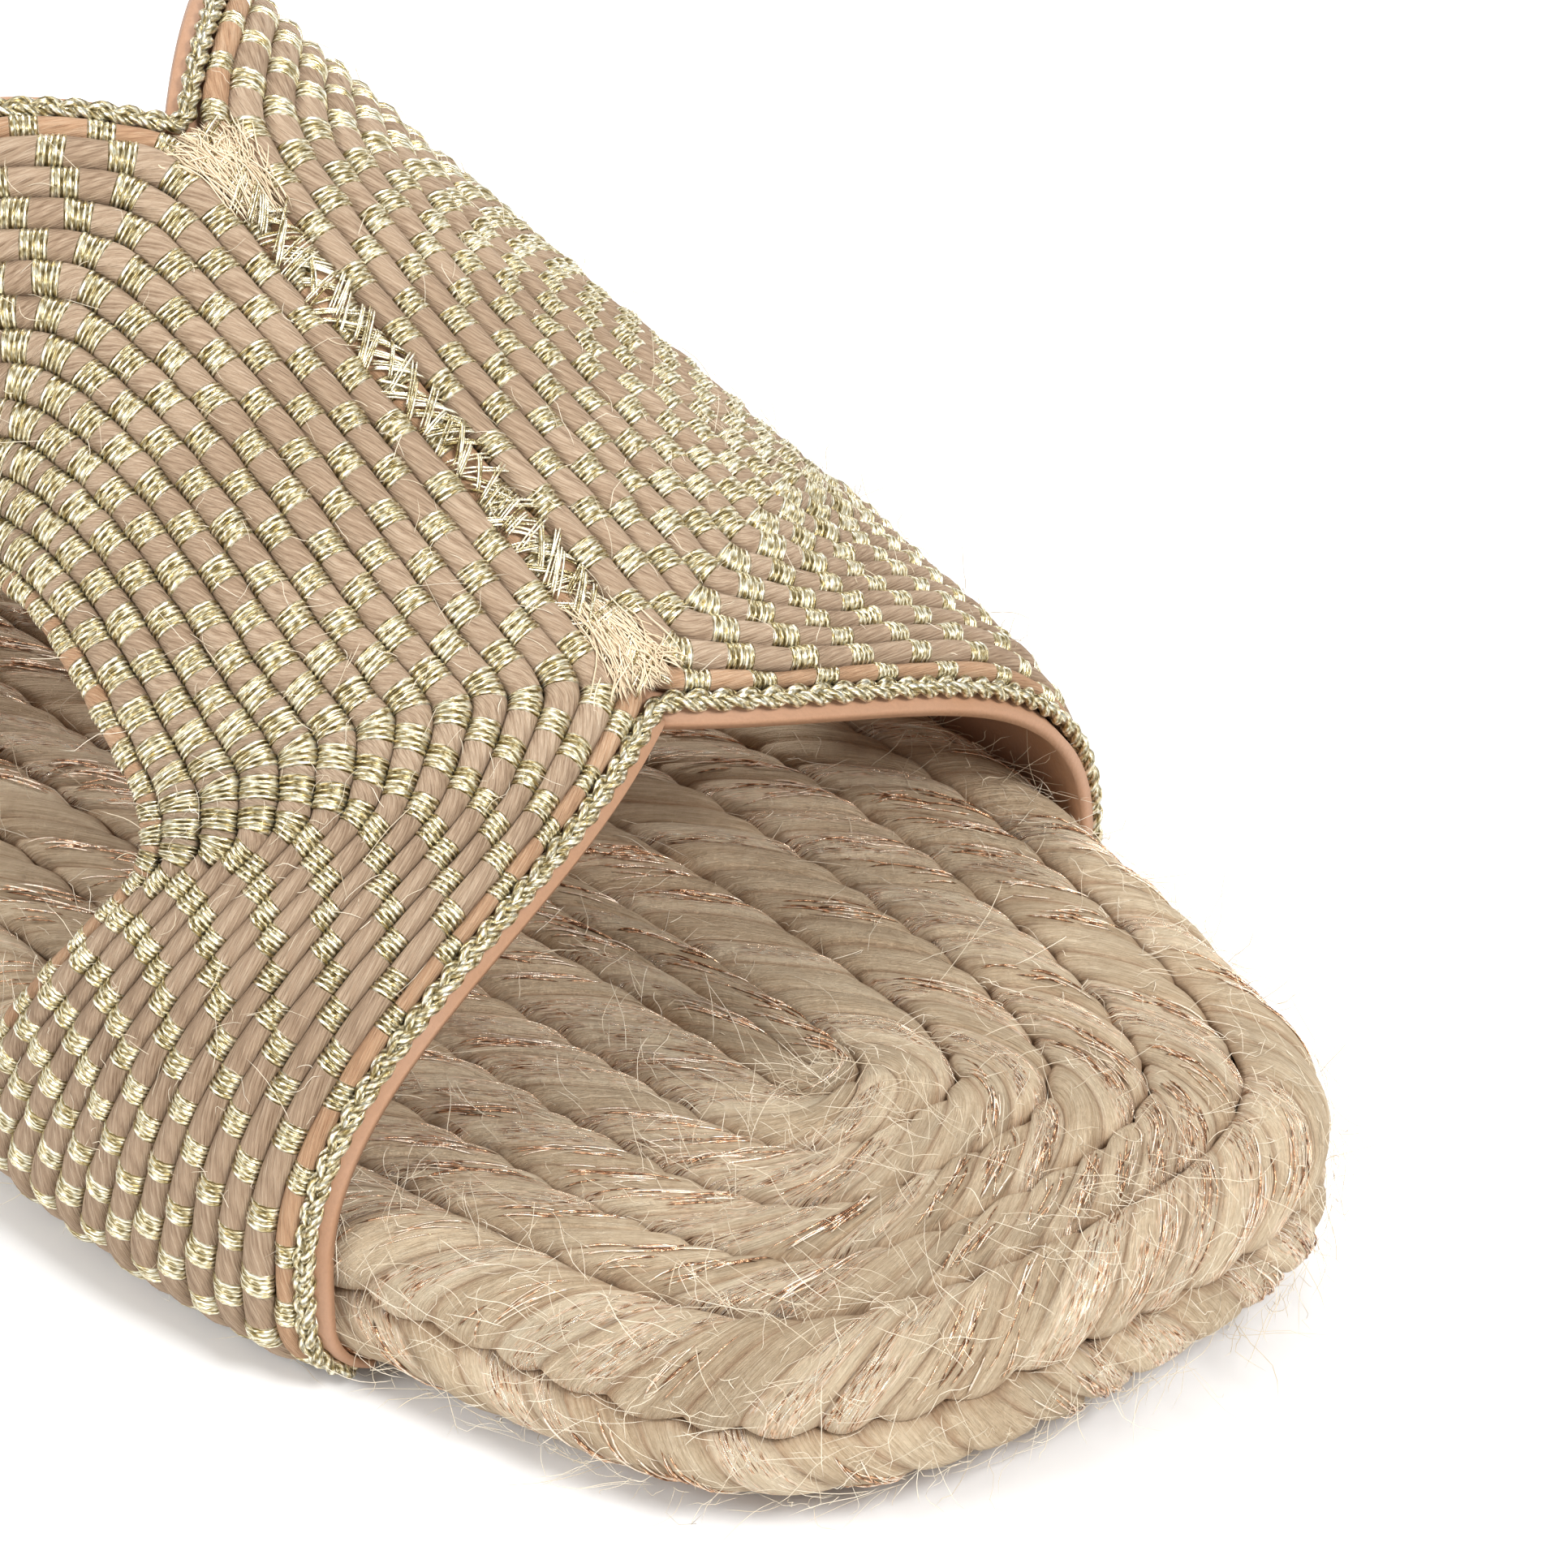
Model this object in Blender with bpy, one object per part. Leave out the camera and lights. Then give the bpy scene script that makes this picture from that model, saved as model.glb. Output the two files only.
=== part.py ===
"""Slip-on flat sandal, right foot: a coiled jute-braid sole on a thin outsole, under an upper of
two bands of parallel cords that are bent into U shapes and joined back to back along the instep.

Metres, +Z up, toes towards -Y, the inner (big toe) side towards +X. The origin is on the ground
at half the sole's length, on the foot's long axis. Stations along the foot are given as t, the
distance behind the toe tip, and distances down the upper from its seam as g, the girth.
"""

import math

import bmesh
import bpy

# Driving sizes of the sole
SOLE_LENGTH = 0.250
BALL_WIDTH = 0.092
OUTSOLE_THICKNESS = 0.0020
OUTSOLE_INSET = 0.0078
BRAID_HEIGHT = 0.0182
BRAID_WIDTH = 0.0077
BRAID_CROWN = 0.0016
BRAID_WAIST = 0.0011
BRAID_WAIST_HEIGHT = 0.0086
BRAID_ROUNDING = 0.0060
COIL_START_INSET = 0.040
TOE_SPRING = 0.0022
TOE_SPRING_LENGTH = 0.045
FIT_GAP = 0.0003

# Driving sizes of the upper: its ridge line over the instep, and its wall
FRONT_APEX = 0.0605
REAR_APEX = 0.1185
FRONT_APEX_CLEARANCE = 0.0272
REAR_APEX_CLEARANCE = 0.0552
SEAM_SHIFT = 0.0016
ARCH_ROUNDNESS = 2.1
CURL_ANGLE = math.radians(60)
LINING_THICKNESS = 0.0012
CORD_COUNT = 12
FRONT_CORD_WIDTH = 0.0031
REAR_CORD_WIDTH = 0.0025
EDGE_CORD_WIDTH = 0.0021
CORD_HEIGHT = 0.0029
CORD_GROOVE = 0.0014
EDGE_CORD_HEIGHT = 0.0022
CURL_THINNING = 0.42
EDGING_WIDTH = 0.0026
EDGING_HEIGHT = 0.0032

# Where each band turns and where its legs reach the sole, behind the toe tip. A pair holds the
# value at the band's outer edge and at its inner edge, which bounds the side window.
WINDOW_FRONT = 0.0785
WINDOW_REAR = 0.108
FRONT_LEG_FOOT = (0.0535, 0.100)
REAR_LEG_FOOT = (0.172, 0.134)
FRONT_BEND_REACH = (0.013, 0.006)
REAR_BEND_REACH = (0.028, 0.022)
FRONT_LEG_BOW = (0.0045, 0.0012)
REAR_LEG_BOW = (0.0085, 0.0030)

# The sole's outline, clockwise from the toe tip down the inner side
OUTLINE = (
    # share of the length from the toe, share of the ball width from the long axis
    (0.000, 0.120),
    (0.014, 0.310),
    (0.062, 0.406),
    (0.170, 0.483),
    (0.290, 0.510),
    (0.440, 0.440),
    (0.600, 0.355),
    (0.760, 0.350),
    (0.890, 0.320),
    (0.972, 0.190),
    (1.000, -0.005),
    (0.972, -0.200),
    (0.890, -0.335),
    (0.740, -0.385),
    (0.580, -0.430),
    (0.420, -0.466),
    (0.300, -0.484),
    (0.190, -0.443),
    (0.070, -0.357),
    (0.018, -0.194),
)

# How finely the curved faces are divided
SOLE_POINTS = 64
OUTSOLE_STRIPS = 41
SIDE_SAMPLES = 250
ARCH_STEPS = 26
CURL_STEPS = 6
CURL_STATIONS = 3
LEG_STEPS = 4
BEND_STEPS = 6
SEAM_STEPS = 3
EDGING_STEPS = 12

# A cord's outer face across its width
RIDGE = (
    # share of the cord's width, share of its rise above the groove
    (0.00, 0.0),
    (0.27, 1.0),
    (0.73, 1.0),
)

# The chain edging's section
CHAIN_SECTION = (
    # share of its width from the middle, share of its height above the wall's inner face
    (-0.50, 0.12),
    (0.50, 0.12),
    (0.50, 0.62),
    (0.26, 1.00),
    (-0.26, 1.00),
    (-0.50, 0.62),
)


def clear_scene():
    for obj in list(bpy.data.objects):
        bpy.data.objects.remove(obj, do_unlink=True)


def lerp(a, b, share):
    return a + (b - a) * share


def blend_points(a, b, share):
    return tuple(lerp(m, n, share) for m, n in zip(a, b))


def y_of(t):
    return t - SOLE_LENGTH / 2


def braid_bottom():
    return OUTSOLE_THICKNESS + FIT_GAP


def curl_centre():
    """The height of the axis that the braid's lower edge, and the wall's curl, turn about."""
    return braid_bottom() + BRAID_ROUNDING


def shoulder_height():
    """The height at which the braid's side starts to round over to its top."""
    return braid_bottom() + BRAID_HEIGHT - BRAID_ROUNDING


def spring_lift(t):
    """How far the toe's end rises off the ground."""
    share = max(0.0, 1 - t / TOE_SPRING_LENGTH)
    return TOE_SPRING * share * share


# The sole's outline, and the half widths that the upper follows


def outline_point(share):
    """A point (x, t) on the outline, on a closed Catmull-Rom curve through the table."""
    count = len(OUTLINE)
    place = (share % 1.0) * count
    first = int(place)
    s = place - first
    rows = [OUTLINE[(first + k) % count] for k in (-1, 0, 1, 2)]
    point = []
    for column, size in ((1, BALL_WIDTH), (0, SOLE_LENGTH)):
        p0, p1, p2, p3 = (row[column] * size for row in rows)
        bend_terms = (2 * p0 - 5 * p1 + 4 * p2 - p3) * s**2 + (3 * p1 - p0 - 3 * p2 + p3) * s**3
        point.append((2 * p1 + (p2 - p0) * s + bend_terms) / 2)
    return tuple(point)


def outline_points(count, start=0.0):
    return [outline_point((k + start) / count) for k in range(count)]


def widest_x(points, t, side):
    """The x at which a closed line of points crosses a station, furthest out on one side."""
    crossings = []
    for (xa, ta), (xb, tb) in zip(points, points[1:] + points[:1]):
        if (ta - t) * (tb - t) <= 0 and ta != tb:
            crossings.append(lerp(xa, xb, (t - ta) / (tb - ta)))
    return side * max(side * x for x in crossings)


def side_table(side):
    """The outline's x on one side, at equal steps from the toe tip to the heel."""
    points = outline_points(600)
    first, last = min(t for _, t in points), max(t for _, t in points)
    stations = [lerp(first, last, k / SIDE_SAMPLES) for k in range(SIDE_SAMPLES + 1)]
    return [widest_x(points, t, side) for t in stations]


SIDE_TABLES = {side: side_table(side) for side in (-1, 1)}


def side_x(t, side):
    """The outline's x at a station, on the inner side (+1) or the outer side (-1)."""
    table = SIDE_TABLES[side]
    place = min(max(t / SOLE_LENGTH, 0.0), 0.9999) * SIDE_SAMPLES
    first = int(place)
    return lerp(table[first], table[first + 1], place - first)


def coil_start(point):
    """The nearest point of the coil's middle line, where the braid starts."""
    t = min(max(point[1], COIL_START_INSET), SOLE_LENGTH - COIL_START_INSET)
    return (side_x(t, 1) + side_x(t, -1)) / 2, t


def inset_point(point, depth):
    """The outline's point moved in by a depth, towards the coil's middle."""
    end = coil_start(point)
    return blend_points(point, end, depth / math.dist(point, end))


def coil_ring(points, share):
    """The outline's points moved in by a share of their way to the coil's middle line."""
    return [blend_points(point, coil_start(point), share) for point in points]


# Materials and finishing


def make_material(name, colour, roughness, metallic=0.0):
    material = bpy.data.materials.new(name)
    material.use_nodes = True
    shader = material.node_tree.nodes["Principled BSDF"]
    shader.inputs["Base Color"].default_value = (*colour, 1.0)
    shader.inputs["Roughness"].default_value = roughness
    shader.inputs["Metallic"].default_value = metallic
    return material


def add_loft(bm, rings):
    """Faces between closed rings of vertices, with a face on each end."""
    count = len(rings[0])
    for lower, upper in zip(rings, rings[1:]):
        for k in range(count):
            following = (k + 1) % count
            bm.faces.new((lower[k], lower[following], upper[following], upper[k]))
    bm.faces.new(rings[0])
    bm.faces.new(rings[-1])


def finish_object(bm, name, material):
    bmesh.ops.recalc_face_normals(bm, faces=bm.faces)
    mesh = bpy.data.meshes.new(name)
    bm.to_mesh(mesh)
    bm.free()
    mesh.materials.append(material)
    mesh.shade_smooth()
    mesh.set_sharp_from_angle(angle=math.radians(50))
    obj = bpy.data.objects.new(name, mesh)
    bpy.context.scene.collection.objects.link(obj)
    return obj


# The sole


def rounded_edge(angles, upward):
    """Loops round the braid's lower or upper edge, as (inset, height) at angles off its side."""
    loops = []
    for angle in angles:
        turn = math.radians(angle)
        rise = BRAID_ROUNDING * (1 - math.sin(turn))
        height = BRAID_HEIGHT - rise if upward else rise
        loops.append((BRAID_ROUNDING * (1 - math.cos(turn)), height))
    return loops


def side_loops():
    """Loops up the braid's side: two rounded rows of strands, with a waist between them."""
    lip = 0.3 * BRAID_WAIST
    half_groove = 0.18 * BRAID_WIDTH
    waist = [
        (lip, BRAID_WAIST_HEIGHT - half_groove),
        (BRAID_WAIST, BRAID_WAIST_HEIGHT),
        (lip, BRAID_WAIST_HEIGHT + half_groove),
    ]
    return rounded_edge((90, 62, 34, 8), False) + waist + rounded_edge((5, 32, 60, 90), True)


def top_loops():
    """Loops across the top, as (share of the way in, height): a ridge for each turn of braid."""
    turns = round(BALL_WIDTH / 2 / BRAID_WIDTH - 0.5) + 0.5
    groove = BRAID_HEIGHT - BRAID_CROWN
    loops = []
    for turn in range(1, int(turns) + 1):
        loops.append((turn / turns, groove))
        if turn + 1 < turns:
            loops += [((turn + 0.3) / turns, BRAID_HEIGHT), ((turn + 0.7) / turns, BRAID_HEIGHT)]
    loops.append((0.975, BRAID_HEIGHT - 0.3 * BRAID_CROWN))
    return loops


def make_rope_sole(material):
    """The jute braid, wound on edge from the middle outwards, as one solid with a ridge for each
    turn on top and the braid's two rows of strands down its side."""
    bm = bmesh.new()
    points = outline_points(SOLE_POINTS, 0.5)
    levels = [(coil_ring(points, share), 0.0) for share in (0.96, 0.6, 0.27)]
    levels += [([inset_point(p, inset) for p in points], height) for inset, height in side_loops()]
    levels += [(coil_ring(points, share), height) for share, height in top_loops()]
    rings = []
    for ring, height in levels:
        rings.append([bm.verts.new((x, y_of(t), braid_bottom() + height + spring_lift(t))) for x, t in ring])
    add_loft(bm, rings)
    return finish_object(bm, "rope_sole", material)


def make_outsole(material):
    """The thin sheet that the shoe stands on, lofted in strips so that its ground face is flat."""
    bm = bmesh.new()
    edge = [inset_point(p, OUTSOLE_INSET) for p in outline_points(400)]
    ends = 0.0015
    first, last = min(t for _, t in edge) + ends, max(t for _, t in edge) - ends
    rings = []
    for k in range(OUTSOLE_STRIPS + 1):
        t = lerp(first, last, 0.5 - 0.5 * math.cos(math.pi * k / OUTSOLE_STRIPS))
        outer, inner = widest_x(edge, t, -1), widest_x(edge, t, 1)
        low, high = spring_lift(t), spring_lift(t) + OUTSOLE_THICKNESS
        corners = ((outer, low), (inner, low), (inner, high), (outer, high))
        rings.append([bm.verts.new((x, y_of(t), z)) for x, z in corners])
    add_loft(bm, rings)
    return finish_object(bm, "outsole", material)


# The upper's inner face, as a surface over the last


def ridge_height(t):
    """The height of the wall's inner face under the seam."""
    share = (t - FRONT_APEX) / (REAR_APEX - FRONT_APEX)
    clearance = lerp(FRONT_APEX_CLEARANCE, REAR_APEX_CLEARANCE, share)
    return braid_bottom() + BRAID_HEIGHT - BRAID_CROWN * 0.5 + clearance


def section(t, side):
    """Half of the inner face at a station, from the seam over the arch, down the braid's side and
    round the curl under it: a list of (x, z, girth)."""
    x_edge = side_x(t, side) + side * FIT_GAP
    shoulder, ridge = shoulder_height(), ridge_height(t)
    power = 2 / ARCH_ROUNDNESS
    path = []
    for k in range(ARCH_STEPS + 1):
        turn = math.pi / 2 * k / ARCH_STEPS
        x = lerp(SEAM_SHIFT, x_edge, math.sin(turn) ** power)
        z = lerp(shoulder, ridge, max(math.cos(turn), 0.0) ** power)
        path.append((x, z))
    radius = BRAID_ROUNDING + FIT_GAP
    for k in range(CURL_STEPS + 1):
        turn = CURL_ANGLE * k / CURL_STEPS
        x = x_edge - side * radius * (1 - math.cos(turn))
        path.append((x, curl_centre() - radius * math.sin(turn)))
    rows = []
    g = 0.0
    for k, (x, z) in enumerate(path):
        if k:
            g += math.dist(path[k - 1], (x, z))
        rows.append((x, z + spring_lift(t), g))
    return rows


SECTIONS = {}


def section_at(t, side):
    key = (round(t * 1e6), side)
    if key not in SECTIONS:
        SECTIONS[key] = section(t, side)
    return SECTIONS[key]


def full_girth(t, side):
    return section_at(t, side)[-1][2]


def curl_girth():
    return CURL_ANGLE * (BRAID_ROUNDING + FIT_GAP)


def last_point(t, g, side):
    """The point of the inner face at station t and girth g. It runs on level past the seam, and
    straight on past the curl's end."""
    rows = section_at(t, side)
    if g <= 0:
        return (rows[0][0] + side * g, y_of(t), rows[0][1])
    k = 1
    while k < len(rows) - 1 and rows[k][2] < g:
        k += 1
    (xa, za, ga), (xb, zb, gb) = rows[k - 1], rows[k]
    share = (g - ga) / (gb - ga)
    return (lerp(xa, xb, share), y_of(t), lerp(za, zb, share))


NORMAL_STEP = 0.0004


def outward(t, g, side):
    """The inner face's unit normal, out of the shoe."""
    ahead, behind = last_point(t - NORMAL_STEP, g, side), last_point(t + NORMAL_STEP, g, side)
    along = [b - a for a, b in zip(ahead, behind)]
    above = last_point(t, max(g - NORMAL_STEP, 0.0), side)
    down = [b - a for a, b in zip(above, last_point(t, g + NORMAL_STEP, side))]
    if g < NORMAL_STEP:
        down = [side, 0.0, 0.0]
    normal = (
        along[1] * down[2] - along[2] * down[1],
        along[2] * down[0] - along[0] * down[2],
        along[0] * down[1] - along[1] * down[0],
    )
    size = -side * math.hypot(*normal)
    return tuple(value / size for value in normal)


def wall_point(t, g, side, height):
    """The point a height off the inner face."""
    return tuple(a + height * n for a, n in zip(last_point(t, g, side), outward(t, g, side)))


def thickness_share(t, g, side):
    """The share of the wall's thickness that is left where it curls under the braid."""
    past = g - (full_girth(t, side) - curl_girth())
    return 1 - CURL_THINNING * min(1.0, max(0.0, past / curl_girth()))


# The paths of the cords, as (t, g) points


def band_width(cord_width):
    return CORD_COUNT * cord_width + 2 * EDGE_CORD_WIDTH


def band_corners(q, side):
    """The corners of the line at share q across the band, from its outer edge (0), on the seam,
    to its inner edge (1), at the side window: front foot, front bend, rear bend and rear foot."""
    front_foot = lerp(*FRONT_LEG_FOOT, q)
    rear_foot = lerp(*REAR_LEG_FOOT, q)
    return (
        (front_foot, full_girth(front_foot, side)),
        (lerp(FRONT_APEX, WINDOW_FRONT, q), q * band_width(FRONT_CORD_WIDTH)),
        (lerp(REAR_APEX, WINDOW_REAR, q), q * band_width(REAR_CORD_WIDTH)),
        (rear_foot, full_girth(rear_foot, side)),
    )


def bend(before, corner, after, reach, roundness):
    """The points round a corner: sharp at the band's outer edge, and a smooth curve inside it."""
    start = blend_points(corner, before, reach / math.dist(corner, before))
    end = blend_points(corner, after, reach / math.dist(corner, after))
    points = []
    for k in range(BEND_STEPS + 1):
        s = k / BEND_STEPS
        first, second = blend_points(start, corner, s), blend_points(corner, end, s)
        sharp = blend_points(start, corner, 2 * s) if s < 0.5 else blend_points(corner, end, 2 * s - 1)
        points.append(blend_points(sharp, blend_points(first, second, s), roundness))
    return points


def leg(foot_t, top, side, steps):
    """A leg's points from its foot, round the curl and up the sole's side, to below its bend."""
    curl = curl_girth()
    side_wall = shoulder_height() - curl_centre()
    length = math.dist((foot_t, full_girth(foot_t, side)), top)
    points = []
    for rest in [curl * k / CURL_STATIONS for k in range(CURL_STATIONS + 1)] + [curl + side_wall]:
        t = lerp(foot_t, top[0], rest / length)
        points.append((t, full_girth(t, side) - rest))
    return points + [blend_points(points[-1], top, k / steps) for k in range(1, steps)]


def bowed(line, bend_g, bow):
    """The line moved along the foot by up to the bow, most at a third of the way down its leg."""
    foot_g = max(g for _, g in line)
    points = []
    for t, g in line:
        share = min(max((g - bend_g) / (foot_g - bend_g), 0.0), 1.0)
        points.append((t + bow * 27 / 4 * share * (1 - share) ** 2, g))
    return points


def band_line(q, side, leg_steps):
    """A line along the band, from its front foot along the seam to its rear foot."""
    foot_f, bend_f, bend_r, foot_r = band_corners(q, side)
    seam = math.dist(bend_f, bend_r)
    reach_f = min(lerp(*FRONT_BEND_REACH, q), 0.42 * seam)
    reach_r = min(lerp(*REAR_BEND_REACH, q), 0.52 * seam)
    roundness = min(1.0, 10 * q)
    front = bend(foot_f, bend_f, bend_r, reach_f, roundness)
    rear = bend(bend_f, bend_r, foot_r, reach_r, roundness)
    middle = [blend_points(front[-1], rear[0], k / SEAM_STEPS) for k in range(1, SEAM_STEPS)]
    front = leg(foot_f[0], front[0], side, leg_steps) + front
    rear = rear + leg(foot_r[0], rear[-1], side, leg_steps)[::-1]
    front = bowed(front, bend_f[1], -lerp(*FRONT_LEG_BOW, q))
    return front + middle + bowed(rear, bend_r[1], lerp(*REAR_LEG_BOW, q))


def cord_edges():
    """The share across the band at which each cord starts, and 1 at the end."""
    widths = [EDGE_CORD_WIDTH] + [FRONT_CORD_WIDTH] * CORD_COUNT + [EDGE_CORD_WIDTH]
    return [sum(widths[:k]) / sum(widths) for k in range(len(widths))] + [1.0]


# The upper


def outer_columns():
    """The outer face's columns across the band, as (q, height off the inner face)."""
    edges = cord_edges()
    columns = []
    for cord in range(len(edges) - 1):
        crest = EDGE_CORD_HEIGHT if cord in (0, len(edges) - 2) else CORD_HEIGHT
        for place, rise in RIDGE:
            height = LINING_THICKNESS + lerp(CORD_GROOVE, crest, rise)
            columns.append((lerp(edges[cord], edges[cord + 1], place), height))
    return columns + [(1.0, LINING_THICKNESS + CORD_GROOVE)]


def add_sheet(bm, columns, side, seam, shared):
    """A face of one band's wall, as rows of vertices along its columns. The stations where the
    bands meet share their vertices."""
    sheet = []
    for q, height in columns:
        row = []
        for k, (t, g) in enumerate(band_line(q, side, LEG_STEPS)):
            if q == 0 and k in seam:
                if k not in shared:
                    shared[k] = bm.verts.new(wall_point(t, 0.0, side, height))
                row.append(shared[k])
            else:
                lift = height * thickness_share(t, g, side)
                row.append(bm.verts.new(wall_point(t, g, side, lift)))
        sheet.append(row)
    for a, b in zip(sheet, sheet[1:]):
        for k in range(len(a) - 1):
            bm.faces.new((a[k], a[k + 1], b[k + 1], b[k]))
    return sheet


def make_upper(material):
    """Both bands as one wall, ridged outside for each cord and smooth inside, joined at the seam."""
    bm = bmesh.new()
    leg_points = CURL_STATIONS + 1 + LEG_STEPS
    seam_first = leg_points + BEND_STEPS // 2
    seam_last = leg_points + BEND_STEPS + SEAM_STEPS + BEND_STEPS // 2
    seam = range(seam_first, seam_last + 1)
    shared_outer, shared_inner = {}, {}
    for side in (-1, 1):
        outer = add_sheet(bm, outer_columns(), side, seam, shared_outer)
        inner = add_sheet(bm, [(q, 0.0) for q in cord_edges()], side, seam, shared_inner)
        last = len(outer[0]) - 1
        for k in range(last):
            if not seam_first <= k < seam_last:
                bm.faces.new((outer[0][k], outer[0][k + 1], inner[0][k + 1], inner[0][k]))
            bm.faces.new((outer[-1][k], outer[-1][k + 1], inner[-1][k + 1], inner[-1][k]))
        for cord in range(len(inner) - 1):
            for k in (0, last):
                ridge = [outer[cord * len(RIDGE) + i][k] for i in range(len(RIDGE) + 1)]
                bm.faces.new(ridge + [inner[cord + 1][k], inner[cord][k]])
    return finish_object(bm, "upper", material)


# The chain edging


def edging_half(front, side):
    """The edging's middle line on one half, beside the band's outer edge, from foot to seam."""
    apex = CURL_STATIONS + 1 + EDGING_STEPS + BEND_STEPS // 2
    line = band_line(0.0, side, EDGING_STEPS)
    line = line[: apex + 1] if front else line[: -apex - 2 : -1]
    away = (EDGING_WIDTH / 2 + FIT_GAP) * (1 if front else -1)
    points = []
    for k, (t, g) in enumerate(line):
        a, b = line[max(k - 1, 0)], line[min(k + 1, len(line) - 1)]
        dt, dg = b[0] - a[0], b[1] - a[1]
        size = math.hypot(dt, dg)
        points.append((t + dg / size * away, g - dt / size * away))
    return [point for point in points if point[1] > EDGING_WIDTH]


def edging_line(front):
    """The edging's middle line from the outer foot over the seam to the inner foot, as (t, g,
    side). The two halves meet at a point on the seam, in a V."""
    outer, inner = edging_half(front, -1), edging_half(front, 1)
    (t_a, g_a), (t_b, g_b) = outer[-2:]
    t_seam = t_b + (t_b - t_a) * g_b / (g_a - g_b)
    line = [(t, g, -1) for t, g in outer]
    line.append((t_seam, 0.0, 1))
    return line + [(t, g, 1) for t, g in reversed(inner)]


def make_edging(front, name, material):
    """A crocheted chain along the front or rear edge, from foot to foot across the seam."""
    bm = bmesh.new()
    line = edging_line(front)
    centres = [last_point(t, g, side) for t, g, side in line]
    rings = []
    for k, (t, g, side) in enumerate(line):
        up = outward(t, g, side)
        a, b = centres[max(k - 1, 0)], centres[min(k + 1, len(centres) - 1)]
        run = [(n - m) / math.dist(a, b) for m, n in zip(a, b)]
        across = (
            up[1] * run[2] - up[2] * run[1],
            up[2] * run[0] - up[0] * run[2],
            up[0] * run[1] - up[1] * run[0],
        )
        height = EDGING_HEIGHT * thickness_share(t, g, side)
        ring = []
        for aside, rise in CHAIN_SECTION:
            place = zip(centres[k], across, up)
            ring.append(bm.verts.new([c + aside * EDGING_WIDTH * v + rise * height * n for c, v, n in place]))
        rings.append(ring)
    add_loft(bm, rings)
    return finish_object(bm, name, material)


def main():
    clear_scene()
    make_outsole(make_material("outsole_rubber", (0.40, 0.24, 0.13), 0.60))
    make_rope_sole(make_material("jute_braid", (0.58, 0.44, 0.28), 0.85))
    make_upper(make_material("wrapped_cord", (0.46, 0.35, 0.21), 0.70))
    gold_thread = make_material("gold_thread", (0.62, 0.55, 0.30), 0.35, 0.7)
    make_edging(True, "front_edging", gold_thread)
    make_edging(False, "rear_edging", gold_thread)


main()
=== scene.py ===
import math

import bmesh
import bpy
import numpy as np
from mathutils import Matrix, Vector


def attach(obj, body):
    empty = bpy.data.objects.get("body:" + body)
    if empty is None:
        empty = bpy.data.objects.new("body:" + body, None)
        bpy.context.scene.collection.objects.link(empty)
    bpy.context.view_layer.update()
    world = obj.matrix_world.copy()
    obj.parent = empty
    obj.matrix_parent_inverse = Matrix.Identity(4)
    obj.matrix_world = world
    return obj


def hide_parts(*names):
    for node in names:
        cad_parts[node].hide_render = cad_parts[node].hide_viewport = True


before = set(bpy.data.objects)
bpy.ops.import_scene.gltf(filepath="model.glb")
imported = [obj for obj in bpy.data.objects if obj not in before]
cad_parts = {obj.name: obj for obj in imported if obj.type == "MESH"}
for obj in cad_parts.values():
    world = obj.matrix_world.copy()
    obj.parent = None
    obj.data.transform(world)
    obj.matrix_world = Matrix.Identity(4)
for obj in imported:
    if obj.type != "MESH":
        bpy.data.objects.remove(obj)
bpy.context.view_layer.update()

bl_info = {
    "name": "Jute Slide Dresser",
    "version": (1, 0, 0),
    "blender": (4, 5, 0),
    "location": "View3D > Sidebar > Sandal",
    "description": "Dresses a slip-on sandal in wrapped jute cords over a coiled, braided jute sole",
    "category": "Object",
}

# Sizes of the solids, in metres, which the pieces here are fitted to. Stations along the foot are
# t, the distance behind the toe tip, and girths are g, the distance down the upper from its seam.
SOLE_LENGTH = 0.250
BALL_WIDTH = 0.092
OUTSOLE_THICKNESS = 0.0020
BRAID_HEIGHT = 0.0182
BRAID_WIDTH = 0.0077
BRAID_CROWN = 0.0016
BRAID_WAIST_HEIGHT = 0.0086
BRAID_ROUNDING = 0.0060
COIL_START_INSET = 0.040
TOE_SPRING = 0.0022
TOE_SPRING_LENGTH = 0.045
FIT_GAP = 0.0003
FRONT_APEX = 0.0605
REAR_APEX = 0.1185
FRONT_APEX_CLEARANCE = 0.0272
REAR_APEX_CLEARANCE = 0.0552
SEAM_SHIFT = 0.0016
ARCH_ROUNDNESS = 2.1
CURL_ANGLE = math.radians(60)
LINING_THICKNESS = 0.0012
CORD_COUNT = 12
FRONT_CORD_WIDTH = 0.0031
REAR_CORD_WIDTH = 0.0025
EDGE_CORD_WIDTH = 0.0021
CORD_HEIGHT = 0.0029
EDGE_CORD_HEIGHT = 0.0022
CURL_THINNING = 0.42
EDGING_WIDTH = 0.0026
EDGING_HEIGHT = 0.0032
WINDOW_FRONT = 0.0785
WINDOW_REAR = 0.108
FRONT_LEG_FOOT = (0.0535, 0.100)
REAR_LEG_FOOT = (0.172, 0.134)
FRONT_BEND_REACH = (0.013, 0.006)
REAR_BEND_REACH = (0.028, 0.022)
FRONT_LEG_BOW = (0.0045, 0.0012)
REAR_LEG_BOW = (0.0085, 0.0030)

# The sole's outline, from the toe tip down the inner side and back up the outer side
OUTLINE = (
    # share of the length from the toe, share of the ball width from the long axis
    (0.000, 0.120),
    (0.014, 0.310),
    (0.062, 0.406),
    (0.170, 0.483),
    (0.290, 0.510),
    (0.440, 0.440),
    (0.600, 0.355),
    (0.760, 0.350),
    (0.890, 0.320),
    (0.972, 0.190),
    (1.000, -0.005),
    (0.972, -0.200),
    (0.890, -0.335),
    (0.740, -0.385),
    (0.580, -0.430),
    (0.420, -0.466),
    (0.300, -0.484),
    (0.190, -0.443),
    (0.070, -0.357),
    (0.018, -0.194),
)

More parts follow.
